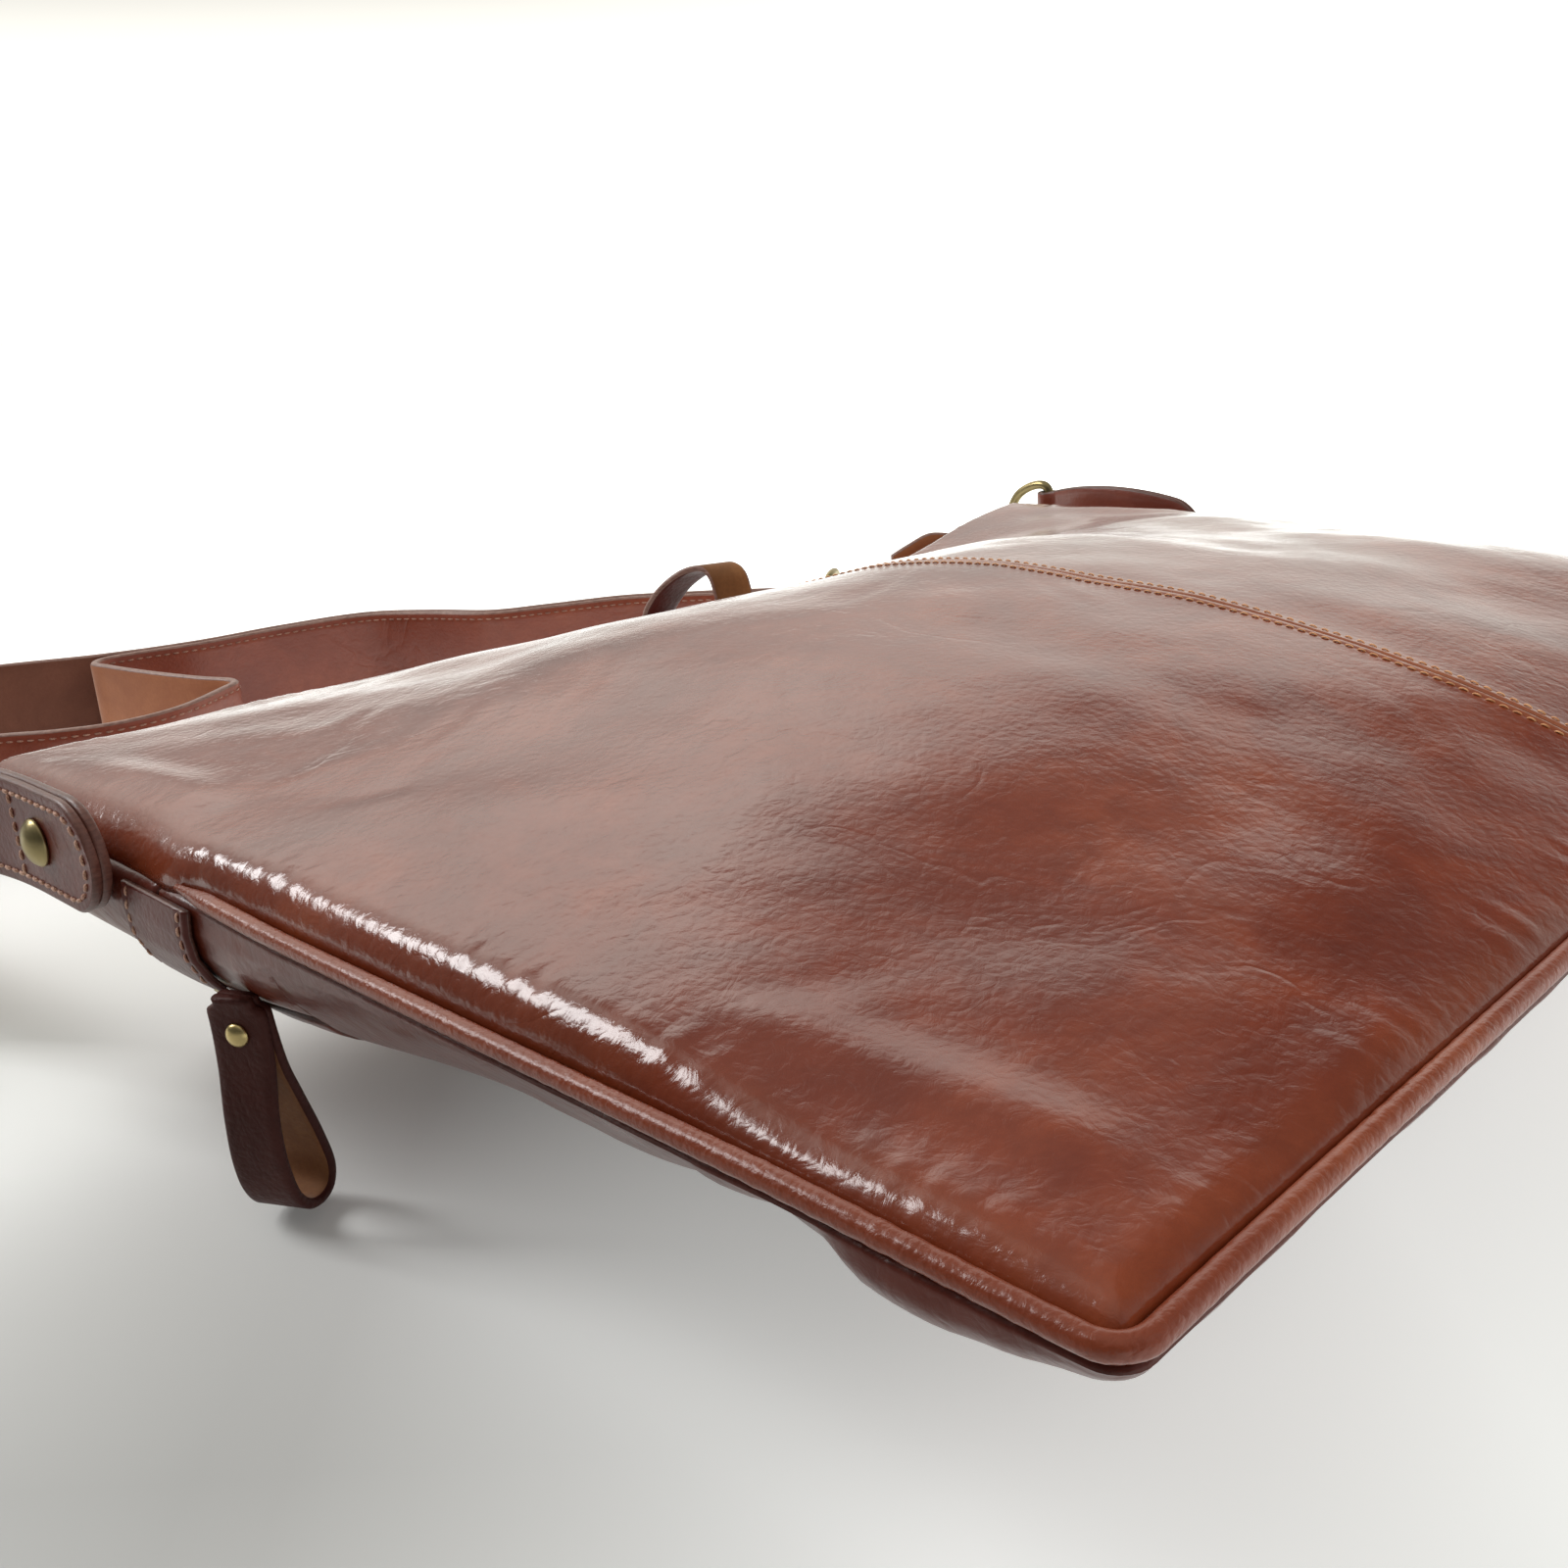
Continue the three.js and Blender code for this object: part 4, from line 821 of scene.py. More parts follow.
def panel_grid(a, b, r, xs, fine, step, height):
    n_mid = max(4, int(round((2 * b - 2 * fine[-1]) / step)))
    yd = np.concatenate([fine, fine[-1] + (2 * b - 2 * fine[-1]) * np.arange(1, n_mid) / n_mid, 2 * b - fine[::-1]])
    rows = []
    for x in xs:
        dx = a - abs(x)
        h = b - r + math.sqrt(max(0.0, r * r - (r - dx) ** 2)) if dx < r else b
        y = -h + yd * h / b
        rows.append(np.stack([np.full_like(y, x), y, height(np.full_like(y, x), y)], -1))
    return np.asarray(rows)


FINE = np.array([0, 0.12, 0.32, 0.6, 1.0, 1.5, 2.1, 2.8, 3.6, 4.5, 5.5, 6.6, 7.8])
for side, name in ((-1, "back_panel_left"), (1, "back_panel_right")):
    a, b, r = A - PANEL_INSET, B - PANEL_INSET, CORNER_R - PANEL_INSET + 1
    near = np.array([5.0, 4.4, 3.8, 3.3, 2.9, 2.5, 2.1, 1.8, 1.5, 1.2, 0.9, 0.6, 0.3, 0.03])
    body = np.arange(a - FINE[-1] - 1.55, 5.6, -1.55)
    xs = np.concatenate([a - FINE, body, near]) * side
    outer = panel_grid(a, b, r, xs, FINE, 1.55, back_height)
    d = rim_distance(outer[..., 0], outer[..., 1], a, b, r)
    gy = outer[..., 1]
    shift = 2.3 * smooth(60, 76, gy) * (np.exp(-d / 12) - np.exp(-d / 3)) - 1.9 * smooth(44, 56, gy) * np.exp(-d / 4) - 0.9 * np.exp(-((gy - 44) / 14) ** 2) * np.exp(-(d / 9) ** 2)
    outer[..., 0] -= side * shift * smooth(60, 110, np.abs(outer[..., 0]))
    nn = grid_normals(outer)
    if nn[len(xs) // 2, nn.shape[1] // 2, 2] < 0:
        nn = -nn
    inner = outer - nn * LEATHER
    verts, faces, index = sheet(outer, inner)
    x = outer[..., 0]
    wear = np.maximum(0.7 * np.exp(-(x / 2.7) ** 4), 0.15 * smooth(9, 2, d))
    wear = np.concatenate([wear.ravel(), np.zeros(wear.size)])
    make(name + "_leather", verts, faces, [M_PANEL, M_INSIDE, M_DARK_EDGE], index, [name], attributes={"wear": wear})

a, b = A - FRONT_RIM, B - FRONT_RIM
fd = np.array([0, 0.8, 2.0, 3.6, 5.6, 8.0])
xs = np.concatenate([-(a - fd), np.linspace(-(a - 8), a - 8, 108)[1:-1], (a - fd)[::-1]])
outer = panel_grid(a, b, 4.6, xs, fd, 3.2, front_height)
nn = grid_normals(outer)
nn = np.where(nn[..., 2:3] < 0, -nn, nn)
verts, faces, index = sheet(outer, outer + nn * LEATHER)
make("front_panel_leather", verts, faces, [M_GUSSET, M_INSIDE, M_DARK_EDGE], index, ["front_panel"],
     attributes={"wear": np.zeros(len(verts))})

# ------------------------------------------------------------------ gusset and zip
W_G = Waves(31, 30, 7, 24, dim=3, stretch=(1, 1, 0.45))
W_G2 = Waves(32, 16, 30, 90, dim=3)


def gusset_strip(q0, q1, k0, k1, thick, step, rows, extra=(), lumps=0.0, push=0.0):
    st = stations(q0, q1, step, extra)
    g = []
    for q in st:
        lo = k0(q) if callable(k0) else k0
        hi = k1(q) if callable(k1) else k1
        ks = [lerp(lo, hi, j / (rows - 1)) for j in range(rows)]
        if lo == 0:
            ks = [-1.0, -0.75, -0.5, -0.25] + ks
        g.append([section(q, k) for k in ks])
    g = np.asarray(g)
    rows = g.shape[1]
    nn = grid_normals(g)
    mid = (len(st) // 2, rows // 2)
    if np.dot(nn[mid][:2], g[mid][:2]) < 0:
        nn = -nn
    if lumps:
        ramp_j = np.sin(np.linspace(0, math.pi, rows)) ** 0.8
        g = g + nn * ((0.16 * W_G(g[..., 0], g[..., 1], g[..., 2]) + 0.18 * W_G2(g[..., 0], g[..., 1], g[..., 2])) * lumps * ramp_j[None, :])[..., None]
    g = g - nn * push
    return g, sheet(g, g - nn * thick)


K_BACK, K_ZIP0, K_ZIP1, K_FRONT = 0.690, 0.655, 0.845, 0.815
zipL, zipR, jointL, jointR = left_q(ZIP_END_Y), right_q(ZIP_END_Y), left_q(JOINT_Y), right_q(JOINT_Y)
NIB = 0.3 / (2 * (B - CORNER_R))
TURN = top_right_q(TOP_SLIDER_X)


def full(q):
    return K_BACK if (q < zipL + NIB or q > zipR + 9 - NIB) else 1.0


for name, spec in {
    "gusset_lower": (jointL + NIB, jointR + 9 - NIB, 0, full, LEATHER, 2.6, 22, (zipL, zipL + 2 * NIB, zipR + 9 - 2 * NIB, zipR + 9), 1.0),
    "gusset_top_back": (jointR + NIB, jointL - NIB, 0, K_BACK, LEATHER, 2.6, 14, (), 1.0),
    "gusset_top_front": (zipR + 3 * NIB, zipL - 3 * NIB, K_FRONT, 1, LEATHER, 3.0, 6, (), 0.8),
}.items():
    g, (verts, faces, index) = gusset_strip(*spec)
    make(name + "_leather", verts, faces, [M_GUSSET, M_INSIDE, M_DARK_EDGE], index, [name], attributes={"wear": np.zeros(len(verts))})
for name, spec in {
    "zip_closed": (TURN, zipL - 3 * NIB, K_ZIP0, K_ZIP1, 0.9, 4.0, 7, (), 0.0, 1.95),
    "zip_open_back": (zipR + 3 * NIB, TURN - 3 * NIB, K_ZIP0, K_ZIP0 + 0.065, 0.9, 4.0, 5, (), 0.0, 1.95),
    "zip_open_front": (zipR + 3 * NIB, TURN - 3 * NIB, K_ZIP1 - 0.065, K_ZIP1, 0.9, 4.0, 5, (), 0.0, 1.95),
}.items():
    g, (verts, faces, index) = gusset_strip(*spec)
    make(name + "_tape", verts, faces, [M_TAPE], None, [name])


def teeth(q0, q1, k, reach, pitch, offset=0.0, tilt=0.0):
    """Row of zip teeth along the gusset at k: short blunt bars across the zip."""
    st = stations(q0, q1, pitch)[1:-1]
    parts = []
    for i, q in enumerate(st):
        if (i + offset) % 2:
            continue
        p = np.array(section(q, k))
        t = unit(np.array(section(q, k + 0.02)) - np.array(section(q, k - 0.02)))
        s = unit(np.array(section(q + 0.002, k)) - np.array(section(q - 0.002, k)))
        n = np.cross(s, t)
        if np.dot(n[:2], p[:2]) < 0:
            n = -n
        c = p - n * 1.45 + t * tilt
        loop = [(-1, -0.55), (-0.75, -0.8), (0.75, -0.8), (1, -0.55), (1, 0.55), (0.75, 0.8), (-0.75, 0.8), (-1, 0.55)]
        low = [c + t * u * reach + s * v * 0.8 - n * 0.25 for u, v in loop]
        top = [c + t * u * reach * 0.86 + s * v * 0.62 + n * 0.65 for u, v in loop]
        v = np.array(low + top)
        f = [tuple(range(7, -1, -1)), tuple(range(8, 16))] + [(j, (j + 1) % 8, 8 + (j + 1) % 8, 8 + j) for j in range(8)]
        parts.append((v, outward(v, f)))
    return parts


rows = teeth(TURN + 0.05, left_q(54), 0.75, 1.7, 1.25, 0, 0.35) + teeth(TURN + 0.05, left_q(54), 0.75, 1.7, 1.25, 1, -0.35)
rows += teeth(zipR + 0.02, TURN - 0.05, K_ZIP0 + 0.055, 0.9, 1.25, 0) + teeth(zipR + 0.02, TURN - 0.05, K_ZIP1 - 0.055, 0.9, 1.25, 0)
verts, faces, _ = join(rows)
make("zip_teeth", verts, faces, [M_TEETH], None, smooth_faces=False)

# ------------------------------------------------------------------ piping
st = stations(left_q(50), right_q(50) + 9, 1.3)
pts = np.array([(*on_outline(q, 1.6), EDGE_Z - float(sag(*on_outline(q, 0)))) for q in st])
sd = np.concatenate([[0], np.cumsum(np.linalg.norm(np.diff(pts, axis=0), axis=1))])
rad = lerp(0.7, PIPING_R, smooth(50, 38, pts[:, 1]))
rad = rad * (1 + 0.014 * Waves(41, 30, 2.8, 5.0, dim=1)(sd) + 0.012 * Waves(42, 12, 30, 90, dim=1)(sd))
verts, faces = tube(pts, rad, 18, False)
make("piping_cord", verts, faces, [M_PIPING], None, ["piping"], attributes={"wear": np.zeros(len(verts))})

# ------------------------------------------------------------------ patches over the gusset joints
for side, name in ((-1, "end_patch_left"), (1, "end_patch_right")):
    ys = np.linspace(70, 44, 40)
    ks = np.linspace(0.02, 0.63, 30)
    outer, inner, norm = [], [], []
    for y in ys:
        edge = min(70 - y, y - 44)
        lift = 1.4 * (0.45 + 0.55 * min(1.0, edge / 1.1) ** 0.5)
        groove = 0.32 * math.exp(-((edge - 2.4) / 0.55) ** 2)
        ro, ri, rn = [], [], []
        for k in ks:
            p, t, s = (np.array(section(left_q(y), c)) for c in (k, k + 0.02, max(0, k - 0.02)))
            n = unit([t[2] - s[2], 0, -(t[0] - s[0])])
            base = p + n * GAP
            top = base + n * (lift - groove)
            for lst, q in ((ro, top), (ri, base)):
                lst.append((q[0] * -side, q[1], q[2]))
            rn.append((n[0] * -side, n[1], n[2]))
        outer.append(ro)
        inner.append(ri)
        norm.append(rn)
    outer, inner, norm = np.array(outer), np.array(inner), np.array(norm)
    verts, faces, index = sheet(outer, inner)
    make(name + "_leather", verts, faces, [M_TAB, M_TAB, M_DARK_EDGE], index, [name], attributes={"wear": np.zeros(len(verts))})
    places = []
    for y_row in (67.6, 46.4):
        i = int(np.argmin(abs(ys - y_row)))
        line = outer[i]
        s = np.concatenate([[0], np.cumsum(np.linalg.norm(np.diff(line, axis=0), axis=1))])
        for q in np.arange(1.6, s[-1] - 1.0, 2.7):
            p = np.array([np.interp(q, s, line[:, c]) for c in range(3)])
            d = np.array([np.interp(q + 0.4, s, line[:, c]) for c in range(3)]) - p
            n = unit([np.interp(q, s, norm[i][:, c]) for c in range(3)])
            places.append((p + n * 0.12, d, n))
    verts, faces = stitches(places, 2.0, 0.34)
    make(name + "_stitches", verts, faces, [M_THREAD], None)

# ------------------------------------------------------------------ corner tabs
def tab_x(y):
    return A + 1.75 + 9.0 * smooth(92, 150, y) * (y - 92) / 50


BAR = (float(tab_x(TAB_BAR)) + TAB_T / 2, TAB_BAR + 1.0)


def tab_half(y):
    h = TAB_H / 2
    t = clamp((y - TAB_END) / h, 0.0, 1.0)
    return np.maximum(0.6, h * np.sqrt(np.maximum(0, 1 - (1 - t) ** 2)))


def bend(side, y):
    """The right tab bends over: both its ends hang lower than its middle."""
    return -0.2 - 4.8 * ((np.minimum(y, TAB_BAR) - 106) / 34) ** 2 if side > 0 else 0.0 * y


for side, word in ((-1, "left"), (1, "right")):
    mid = TAB_T * 0.25
    ys = np.concatenate([TAB_END + 0.05 + (1 - np.cos(np.linspace(0, math.pi / 2, 16))) * 14.0, np.arange(84.5, TAB_BAR - 3, 1.6)])
    outer_leg = [(float(tab_x(y)) + TAB_T - mid, y) for y in ys]
    eye = [(BAR[0] + 3.45 * math.cos(t), BAR[1] + 3.45 * math.sin(t)) for t in np.linspace(-0.10 * math.pi, 1.10 * math.pi, 18)]
    inner_leg = [(float(tab_x(y)) + mid, y) for y in ys[::-1]]
    plan = np.array(outer_leg + eye + inner_leg)
    path = np.column_stack([plan[:, 0] * side, plan[:, 1], TAB_Z + bend(side, plan[:, 1])])
    half = np.where(np.arange(len(plan)) < len(ys), tab_half(plan[:, 1]), np.where(np.arange(len(plan)) >= len(ys) + len(eye), tab_half(plan[:, 1]), TAB_H / 2))
    verts, faces, index = strip(path, (0, 0, 1), half, 1.92, 10)
    # face 0 outside, face 1 inside the fold; both faces take the same leather
    swap = {0: 0, 1: 1, 2: 2} if side > 0 else {0: 1, 1: 0, 2: 2}
    index = [swap[i] for i in index]
    # the two tabs are alike: the right tab takes the lighter strap leather as painted light on its shaded inner face,
    # the left tab the darker tab leather
    hide = M_TAB if side < 0 else M_STRAP
    make(f"tab_{word}_leather", verts, faces, [hide, hide, M_DARK_EDGE], index, [f"tab_{word}"], attributes={"wear": np.zeros(len(verts))})
    # stitching round the tab and across it beyond the stud
    places = []

    def face_point(y, z):
        x = float(tab_x(y)) + TAB_T + 0.02
        slope = float(tab_x(y + 0.5) - tab_x(y - 0.5))
        n = unit([1, -slope, 0])
        return np.array([x * side, y, TAB_Z + z + float(bend(side, np.float64(y)))]), np.array([n[0] * side, n[1], 0])
    inset, h = 2.7, TAB_H / 2
    run = [(y, h - inset) for y in np.arange(132, TAB_END + h, -0.5)]
    run += [(TAB_END + h - (h - inset) * math.sin(t), (h - inset) * math.cos(t)) for t in np.linspace(0, math.pi, 60)]
    run += [(y, -(h - inset)) for y in np.arange(TAB_END + h, 132, 0.5)]
    runs = [np.array(run), np.array([(103.0, z) for z in np.arange(-(h - inset), h - inset + 0.01, 0.4)])]
    for r_ in runs:
        s = np.concatenate([[0], np.cumsum(np.linalg.norm(np.diff(r_, axis=0), axis=1))])
        for q in np.arange(1.2, s[-1] - 0.8, 3.0):
            y, z = np.interp(q, s, r_[:, 0]), np.interp(q, s, r_[:, 1])
            y2, z2 = np.interp(q + 0.4, s, r_[:, 0]), np.interp(q + 0.4, s, r_[:, 1])
            p, n = face_point(y, z)
            p2, _ = face_point(y2, z2)
            places.append((p, p2 - p, n))
    verts, faces = stitches(places, 2.35, 0.42)
    make(f"tab_{word}_stitches", verts, faces, [M_THREAD], None)
    # domed stud
    sy = 92.5
    origin = np.array([(float(tab_x(sy)) + TAB_T + 0.05) * side, sy, TAB_Z + 0.4 + float(bend(side, np.float64(sy)))])
    verts, faces = lathe([(0, 0), (4.75, 0), (4.95, 0.25), (4.95, 0.6), (4.7, 0.95), (4.25, 1.45), (3.6, 1.95), (2.7, 2.42), (1.7, 2.76), (0.8, 2.95), (0, 3.0)], 48, origin, (side, 0, 0))
    make(f"tab_stud_{word}_dome", verts, faces, [M_BRASS], None, [f"tab_stud_{word}"])
    # D-ring and strap link
    w = TAB_H / 2 + 2.1
    by = BAR[1]
    tz = TAB_Z + float(bend(side, np.float64(TAB_BAR)))
    lz = -4.0 if side > 0 else 0.0
    d = [(by, -w + 2), (by, 0), (by, w - 2), (by + 2.2, w), (by + 8, w - 0.6), (by + 15, w - 5), (by + 18.4, 0), (by + 15, -(w - 5)), (by + 8, -(w - 0.6)), (by + 2.2, -w)]
    verts, faces = tube(through([(BAR[0] * side, y, tz + z) for y, z in d], 110, True), 1.7, 16, True)
    make(f"d_ring_{word}_wire", verts, faces, [M_BRASS], None, [f"d_ring_{word}"])
    bow, px = by + 18.4, BAR[0]
    link = [(px - 6.5, bow - 5.5, tz - 5.5), (px, bow - 6.2, tz - 4.5), (px + 6.5, bow - 5.0, tz - 5.5), (px + 4, bow + 16, 60.5 + lz), (px + 1.5, bow + 22.5, 60.8 + lz), (px, bow + 24, 57 + lz),
            (px, bow + 24, 40 + lz), (px, bow + 24, 21 + lz), (px - 1.5, bow + 22.5, 17.4 + lz), (px - 4, bow + 16, 18.5 + lz), (px - 7, bow + 4, 38 + lz)]
    verts, faces = tube(through([(x * side, y, z) for x, y, z in link], 140, True), 1.6, 14, True)
    make(f"strap_link_{word}_wire", verts, faces, [M_BRASS], None, [f"strap_link_{word}"])

# ------------------------------------------------------------------ centre seam stitching
places = []
for x in (-2.6, 2.6):
    for y in np.arange(-B + 8.5, B - 8.0, 2.6):
        e = 0.8
        z = float(back_height(x, y))
        tx, ty = float(back_height(x + e, y) - back_height(x - e, y)) / (2 * e), float(back_height(x, y + e) - back_height(x, y - e)) / (2 * e)
        n = unit([-tx * 0.4, -ty, 1])
        places.append((np.array([x, y, z + 0.07]), np.array([0.12 * np.sign(x), 1, ty]), n))
verts, faces = stitches(places, 2.0, 0.25, 0.3)
make("seam_stitches", verts, faces, [M_THREAD_SEAM], None)


# ------------------------------------------------------------------ zip sliders and pulls
def slider(name, q, along):
    p = np.array(section(q, 0.75))
    t = unit(np.array(section(q, 0.80)) - np.array(section(q, 0.70)))
    along = np.asarray(along, float)
    n = np.cross(along, t)
    o = p + n * GAP
    parts = []
    prof = [(-6.0, 1.7), (-4.6, 2.8), (-1.0, 3.0), (3.6, 2.7), (6.0, 1.5)]
    line = [(u, v) for u, v in prof] + [(u, -v) for u, v in reversed(prof)]
    m = len(line)
    rows_ = []
    for h, s in ((0.0, 0.94), (0.35, 1.0), (1.15, 1.0), (1.5, 0.90)):
        rows_.append([o + along * u * s + t * v * s + n * h for u, v in line])
    v = np.array([q_ for r_ in rows_ for q_ in r_])
    f = [tuple(range(m - 1, -1, -1)), tuple(range(3 * m, 4 * m))]
    for i in range(3):
        f += [(i * m + j, i * m + (j + 1) % m, (i + 1) * m + (j + 1) % m, (i + 1) * m + j) for j in range(m)]
    parts.append((v, outward(v, f)))
    bridge = through([o + along * -4.2 + n * 1.2, o + along * -3.4 + n * 2.4, o + along * 0.4 + n * 2.75, o + along * 3.6 + n * 2.2, o + along * 4.2 + n * 1.1], 22)
    parts.append(tube(bridge, 0.75, 10, False))
    verts, faces, _ = join(parts)
    return make(name + "_body", verts, faces, [M_BRASS], None, [name])


slider("zip_slider_side", left_q(48), (0, 1, 0))
slider("zip_slider_top", top_right_q(TOP_SLIDER_X - 6), (1, 0, 0))

# hanging pull: one strip folded at the bottom, its two ends riveted at the neck
inward, down = np.array([0.89, 0.456, 0]), np.array([0, 0, -1.0])
inward = unit(inward)
across = np.cross(inward, down)
TOP = np.array([-194.3, 34.1, EDGE_Z - 19.5])
ab = [(0.1, -2.2), (0.7, 0.2), (1.0, 5), (0.75, 12), (-0.5, 22), (-0.3, 31.6), (1.5, 38.4), (4.4, 42.0), (8.0, 43.2), (11.3, 42.2), (12.7, 39.0), (11.0, 30.9), (7.4, 20.6), (4.5, 13.0), (3.0, 6), (2.2, 0.2), (1.8, -2.2)]
run = through([(a_, b_) for a_, b_ in ab], 120)
path = TOP + run[:, :1] * inward + run[:, 1:2] * down
half = lerp(4.1, 6.0, smooth(-0.9, 0.5, run[:, 1]))
half = half * (1 - 0.05 * np.exp(-((run[:, 1] - 22) / 10) ** 2))
verts, faces, index = strip(path, across, half, 2.05, 8)
make("zip_pull_side_leather", verts, faces, [M_SUEDE, M_PULL, M_PULL], index, ["zip_pull_side"], attributes={"wear": np.zeros(len(verts))})
origin = TOP + down * 5.0 + inward * 0.0
verts, faces = lathe([(0, 0), (2.2, 0), (2.35, 0.2), (2.3, 0.45), (2.05, 0.78), (1.6, 1.1), (1.0, 1.34), (0.45, 1.44), (0, 1.45)], 40, origin, -inward)
make("pull_rivet_side_cap", verts, faces, [M_RIVET], None, ["pull_rivet_side"])

# standing pull behind the top edge
yz = [(149.6, 45.2), (153.6, 46.5), (160, 45.7), (169, 44.3), (177, 45.5), (181.9, 49), (182.4, 54.5), (179, 60.5), (174, 66), (168, 69.9), (162, 70.8), (158.3, 68.3), (156.1, 62.5), (154.2, 55), (152.9, 49.8), (149.6, 47.0)]
run = through(yz, 140)
curl = smooth(50, 60, run[:, 1])
xs = TOP_SLIDER_X - 1 + 5.5 * curl * (1 - smooth(158, 184, run[:, 0])) - 5 * smooth(160, 186, run[:, 0])
path = np.column_stack([xs, run[:, 0], run[:, 1]])
turned = np.column_stack([1 - 0.1 * curl, -0.5 * curl * (1 - 0.6 * smooth(160, 182, run[:, 0])), np.zeros(len(run))])
half = lerp(4.0, 6.5, smooth(150.5, 154.5, run[:, 0]))
verts, faces, index = strip(path, turned, half, 2.0, 8)
make("zip_pull_top_leather", verts, faces, [M_SUEDE, M_TAB, M_EDGE], index, ["zip_pull_top"], attributes={"wear": np.zeros(len(verts))})

# ------------------------------------------------------------------ shoulder strap
STRAP_RUN = [
    # x, y, height of the lower edge
    (189.5, 206.5, 11), (196, 202, 15), (202.5, 197, 18.5), (208.6, 190.5, 18), (210.5, 184, 18), (209.4, 180, 18), (206.4, 178.4, 18),
    (203.4, 180, 18), (202.0, 184, 18), (197, 188.5, 15.5), (186, 193.5, 11), (172, 201, 6.5), (160, 214, 4), (152, 232, 1), (143, 250, 0), (128, 271, 0),
    (113, 288, 0), (86, 304, 0), (66, 317, 0), (53, 342, 0), (37, 364, 0), (6, 375, 0), (-28, 381, 0), (-52, 389.5, 0),
    (-63.5, 391.5, 0), (-68.6, 387, 0), (-67.6, 377, 0),
    (-63, 351, 0), (-56, 324, 0), (-51.6, 312, 0), (-52.8, 306.8, 0), (-59, 302.8, 0),
    (-82, 291.4, 0), (-102, 291.6, 0), (-118, 300, 0), (-134, 314, 0), (-156, 327, 0), (-179, 325, 0), (-196, 306, 0), (-203, 276, 4), (-204, 240, 13), (-202.4, 205, 21), (-202.0, 186, 22),
    (-203.4, 180, 22), (-206.4, 178.4, 22), (-209.4, 180, 22), (-210.6, 186, 22),
    (-214, 205, 21), (-221, 240, 13), (-225, 278, 4), (-224, 320, 0), (-213, 366, 0), (-188, 407, 0), (-152, 431, 0), (-118, 433, 0), (-90, 419, 0),
    (-60, 399, 0), (-26.9, 385.5, 0), (7.1, 379.4, 0), (39.5, 367.7, 0), (56.8, 344.3, 0), (69.4, 320, 0), (88.4, 307.8, 0), (115.8, 291.6, 0), (131.8, 274, 0), (148.6, 253, 0), (157.6, 235, 1), (165.6, 217.4, 4), (172.6, 208.6, 6),
]
run = through(STRAP_RUN, 900)
run[:, 2] = np.maximum(0, run[:, 2])
path = run + np.array([0, 0, STRAP_W / 2])
flat = path * [1, 1, 0]
d2 = tangents(flat)
left = np.column_stack([-d2[:, 1], d2[:, 0], np.zeros(len(d2))])
verts, faces, index = strip(path, (0, 0, 1), STRAP_W / 2, STRAP_T, 10, normal_of=left)
# painted shade: the doubled length's flesh side takes a darker copy of the flesh material
per = (len(index) - 2) // (len(path) - 1)
outer_start = int(np.argmin(np.linalg.norm(path[:, :2] - [-214, 205], axis=1)))
index = [3 if kind == 1 and i // per >= outer_start else kind for i, kind in enumerate(index)]
make("shoulder_strap_leather", verts, faces, [M_STRAP, M_FLESH, M_EDGE, M_FLESH_PAINTED_SHADE], index, ["shoulder_strap"], attributes={"wear": np.zeros(len(verts))})
s = np.concatenate([[0], np.cumsum(np.linalg.norm(np.diff(flat, axis=0), axis=1))])
places = []
for q in np.arange(3, s[-1] - 3, 3.4):
    p = np.array([np.interp(q, s, path[:, c]) for c in range(3)])
    d = np.array([np.interp(q + 0.5, s, path[:, c]) for c in range(3)]) - p
    n = unit([np.interp(q, s, left[:, c]) for c in range(3)])
    for up in (1, -1):
        places.append((p + np.array([0, 0, up * (STRAP_W / 2 - 2.6)]) + n * (STRAP_T / 2 + 0.02), d, n))
verts, faces = stitches(places, 2.5, 0.34, rings=5, sides=5)
make("shoulder_strap_stitches", verts, faces, [M_THREAD_STRAP], None)
mid, sdir, z0, z1, w = np.array([162.8, 215.7]), unit([0.86, 0.50]), 2.6, 42.6, 8.2
frame_run = [(-w, z0 + 2), (-w, (z0 + z1) / 2), (-w, z1 - 2), (-w + 2, z1), (w - 2, z1), (w, z1 - 2), (w, (z0 + z1) / 2), (w, z0 + 2), (w - 2, z0), (-w + 2, z0)]
pts = through([(mid[0] + sdir[0] * u, mid[1] + sdir[1] * u, z) for u, z in frame_run], 120, True)
verts, faces = tube(pts, 1.6, 14, True)
make("strap_slide_wire", verts, faces, [M_BRASS], None, ["strap_slide"])

# ------------------------------------------------------------------ floor, light, camera
me = bpy.data.meshes.new("floor")
S = 7.0
me.from_pydata([(-S, -S, 0), (S, -S, 0), (S, S, 0), (-S, S, 0)], [], [(0, 1, 2, 3)])
floor = bpy.data.objects.new("floor", me)
bpy.context.scene.collection.objects.link(floor)
m, nt, bsdf = mat("pale_floor")
vec = coords(nt)
col = ramp(nt, noise(nt, vec, 3.0, 3), [(0.3, (0.80, 0.81, 0.795)), (0.7, (0.83, 0.838, 0.825))])
bsdf.inputs["Roughness"].default_value = 0.6
# painted light and shade on the floor: its base colour is darkened towards its near left side as painted shade, and
# its emission glows out to white behind the bag as painted light
sep = nt.nodes.new("ShaderNodeSeparateXYZ")
nt.links.new(vec, sep.inputs[0])
sx, sy = sep.outputs["X"], sep.outputs["Y"]
shade = math_node(nt, "MULTIPLY", remap(nt, math_node(nt, "ADD", sx, sy), -0.25, -0.12, 0.40, 0.0), remap(nt, math_node(nt, "SUBTRACT", sx, sy), -0.22, -0.06, 1.0, 0.0))
nt.links.new(mix_color(nt, shade, col, (0.0, 0.0, 0.0)), bsdf.inputs["Base Color"])
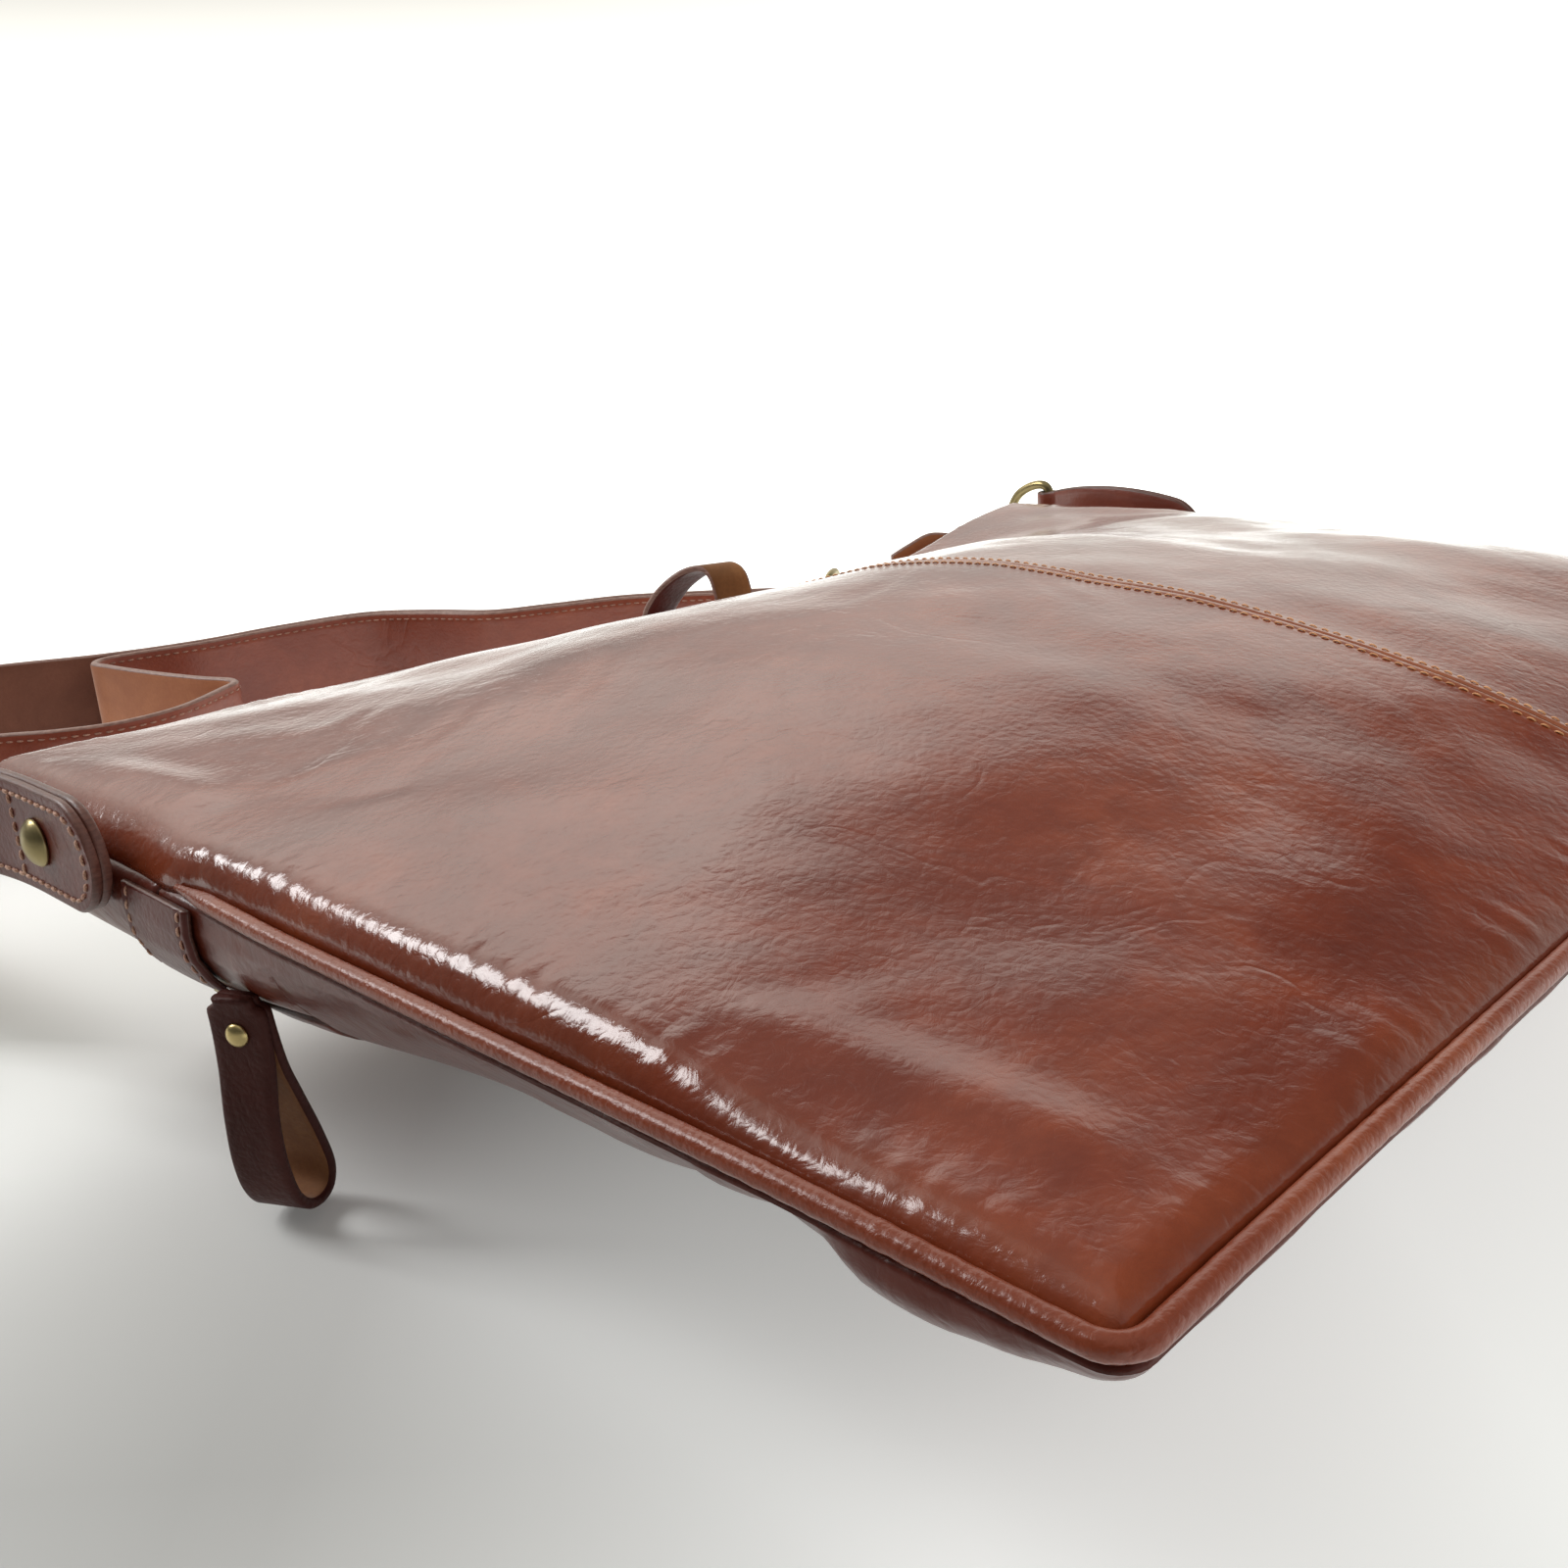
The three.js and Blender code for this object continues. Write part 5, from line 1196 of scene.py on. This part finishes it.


# painted light: a soft glowing spot in the floor's emission, laid where the bag shades the floor
def painted_light_spot(cx, cy, rx, ry, amount):
    u = math_node(nt, "MULTIPLY", math_node(nt, "SUBTRACT", sx, cx), 1 / rx)
    v = math_node(nt, "MULTIPLY", math_node(nt, "SUBTRACT", sy, cy), 1 / ry)
    r2 = math_node(nt, "ADD", math_node(nt, "MULTIPLY", u, u), math_node(nt, "MULTIPLY", v, v))
    return math_node(nt, "MULTIPLY", math_node(nt, "EXPONENT", math_node(nt, "MULTIPLY", r2, -1.0)), amount)


glow = math_node(nt, "ADD", remap(nt, math_node(nt, "ADD", sx, sy), -0.05, 0.32, 0.0, 0.5), remap(nt, math_node(nt, "SUBTRACT", sx, sy), -0.20, 0.06, 0.0, 0.46))
glow = math_node(nt, "ADD", glow, remap(nt, math_node(nt, "ADD", sx, sy), 0.35, 1.0, 0.0, 0.6))
# painted light spots under the bag's near left side and under its left top corner and tab
glow = math_node(nt, "ADD", glow, painted_light_spot(-0.155, -0.03, 0.05, 0.09, 0.22))
glow = math_node(nt, "ADD", glow, painted_light_spot(-0.21, 0.12, 0.05, 0.05, 0.22))
nt.links.new(glow, bsdf.inputs["Emission Strength"])
bsdf.inputs["Emission Color"].default_value = (0.955, 1.0, 0.975, 1)
me.materials.append(m)

world = bpy.data.worlds.new("studio")
bpy.context.scene.world = world
world.use_nodes = True
wt = world.node_tree
bg = wt.nodes["Background"]
tc = wt.nodes.new("ShaderNodeTexCoord")
sep = wt.nodes.new("ShaderNodeSeparateXYZ")
wt.links.new(tc.outputs["Generated"], sep.inputs[0])
def grey(stops):
    return ramp(wt, sep.outputs["Z"], [(at, (v, v * 0.975, v * 0.90)) for at, v in stops])


LEFT_SKY = [(0.0, 1.12), (0.13, 1.12), (0.19, 0.5), (0.26, 0.62), (0.34, 1.05), (0.42, 1.45), (0.5, 2.0), (0.57, 2.4), (0.64, 2.3), (0.71, 0.95), (0.8, 0.4), (0.87, 0.5), (1.0, 0.65)]
RIGHT_SKY = [(0.0, 1.12), (0.42, 1.25), (0.5, 1.28), (0.545, 0.95), (0.588, 0.45), (0.66, 0.38), (0.75, 0.35), (0.87, 0.5), (1.0, 0.65)]
BACK_SKY = [(0.0, 1.05), (0.13, 1.05), (0.19, 0.55), (0.34, 1.05), (0.5, 1.8), (0.64, 1.9), (0.8, 1.7), (0.9, 0.9), (1.0, 0.65)]
FAR_SKY = [(0.0, 1.0), (0.15, 0.95), (0.3, 0.78), (0.42, 0.42), (0.5, 0.15), (0.75, 0.2), (0.87, 0.5), (1.0, 0.65)]
FRONT_SKY, SIDE_SKY = 0.40, 0.10
around = math_node(wt, "ARCTAN2", sep.outputs["X"], sep.outputs["Y"])
sky = mix_color(wt, remap(wt, around, 0.66, 1.04, 0.0, 1.0), grey(LEFT_SKY), grey(RIGHT_SKY))
sky = mix_color(wt, remap(wt, around, 1.28, 1.42, 0.0, 1.0), sky, grey(FAR_SKY))
sky = mix_color(wt, remap(wt, around, 0.05, 0.35, 1.0, 0.0), sky, grey(BACK_SKY))
sky = mix_color(wt, remap(wt, around, -0.42, -0.02, 1.0, 0.0), sky, grey([(0.0, 0.30), (0.7, 0.25), (0.87, 0.5), (1.0, 0.65)]))
turn = wt.nodes.new("ShaderNodeVectorMath")
turn.operation = "DOT_PRODUCT"
wt.links.new(tc.outputs["Generated"], turn.inputs[0])
turn.inputs[1].default_value = (-0.45, -0.89, 0.10)
low = remap(wt, sep.outputs["Z"], 0.62, 0.87, 1.0, 0.0)
sky = mix_color(wt, math_node(wt, "MULTIPLY", remap(wt, turn.outputs["Value"], 0.0, 0.5, 0.0, 1.0), low), sky, (FRONT_SKY, FRONT_SKY, FRONT_SKY))
# the open side to the left is dim
dim = wt.nodes.new("ShaderNodeVectorMath")
dim.operation = "DOT_PRODUCT"
wt.links.new(tc.outputs["Generated"], dim.inputs[0])
dim.inputs[1].default_value = (-0.98, -0.20, 0.0)
sky = mix_color(wt, math_node(wt, "MULTIPLY", remap(wt, dim.outputs["Value"], 0.25, 0.6, 0.0, 1.0), low), sky, (SIDE_SKY, SIDE_SKY, SIDE_SKY))
wt.links.new(sky, bg.inputs["Color"])
bg.inputs["Strength"].default_value = 1.0


def area(name, at, look, size, power, colour=(1, 1, 1), glossy=True):
    l = bpy.data.lights.new(name, "AREA")
    l.shape = "RECTANGLE"
    l.size, l.size_y = size
    l.energy = power
    l.color = colour
    o = bpy.data.objects.new(name, l)
    bpy.context.scene.collection.objects.link(o)
    o.location = at
    o.rotation_mode = "QUATERNION"
    o.rotation_quaternion = (Vector(look) - Vector(at)).to_track_quat("-Z", "Y")
    o.visible_glossy = glossy
    return o


area("back_left_window", (-0.86, 1.33, 1.32), (-0.15, -0.03, 0.05), (0.58, 0.90), 20)
area("front_right_fill", (0.45, -1.15, 1.0), (-0.1, -0.25, 0.0), (1.0, 0.8), 9, glossy=False)

cam = bpy.data.cameras.new("camera")
cam.sensor_width = 36.0
cam.lens = 36.45
cam.clip_start = 0.01
co = bpy.data.objects.new("camera", cam)
bpy.context.scene.collection.objects.link(co)
X = (0.69272, -0.71849, -0.06263)
Y = (0.26946, 0.17728, 0.94655)
Z = (-0.66898, -0.67257, 0.31641)
co.matrix_world = Matrix(((X[0], Y[0], Z[0], -0.30413), (X[1], Y[1], Z[1], -0.21825), (X[2], Y[2], Z[2], 0.16727), (0, 0, 0, 1)))
bpy.context.scene.camera = co
bpy.context.scene.view_settings.view_transform = "Standard"

bpy.context.view_layer.update()
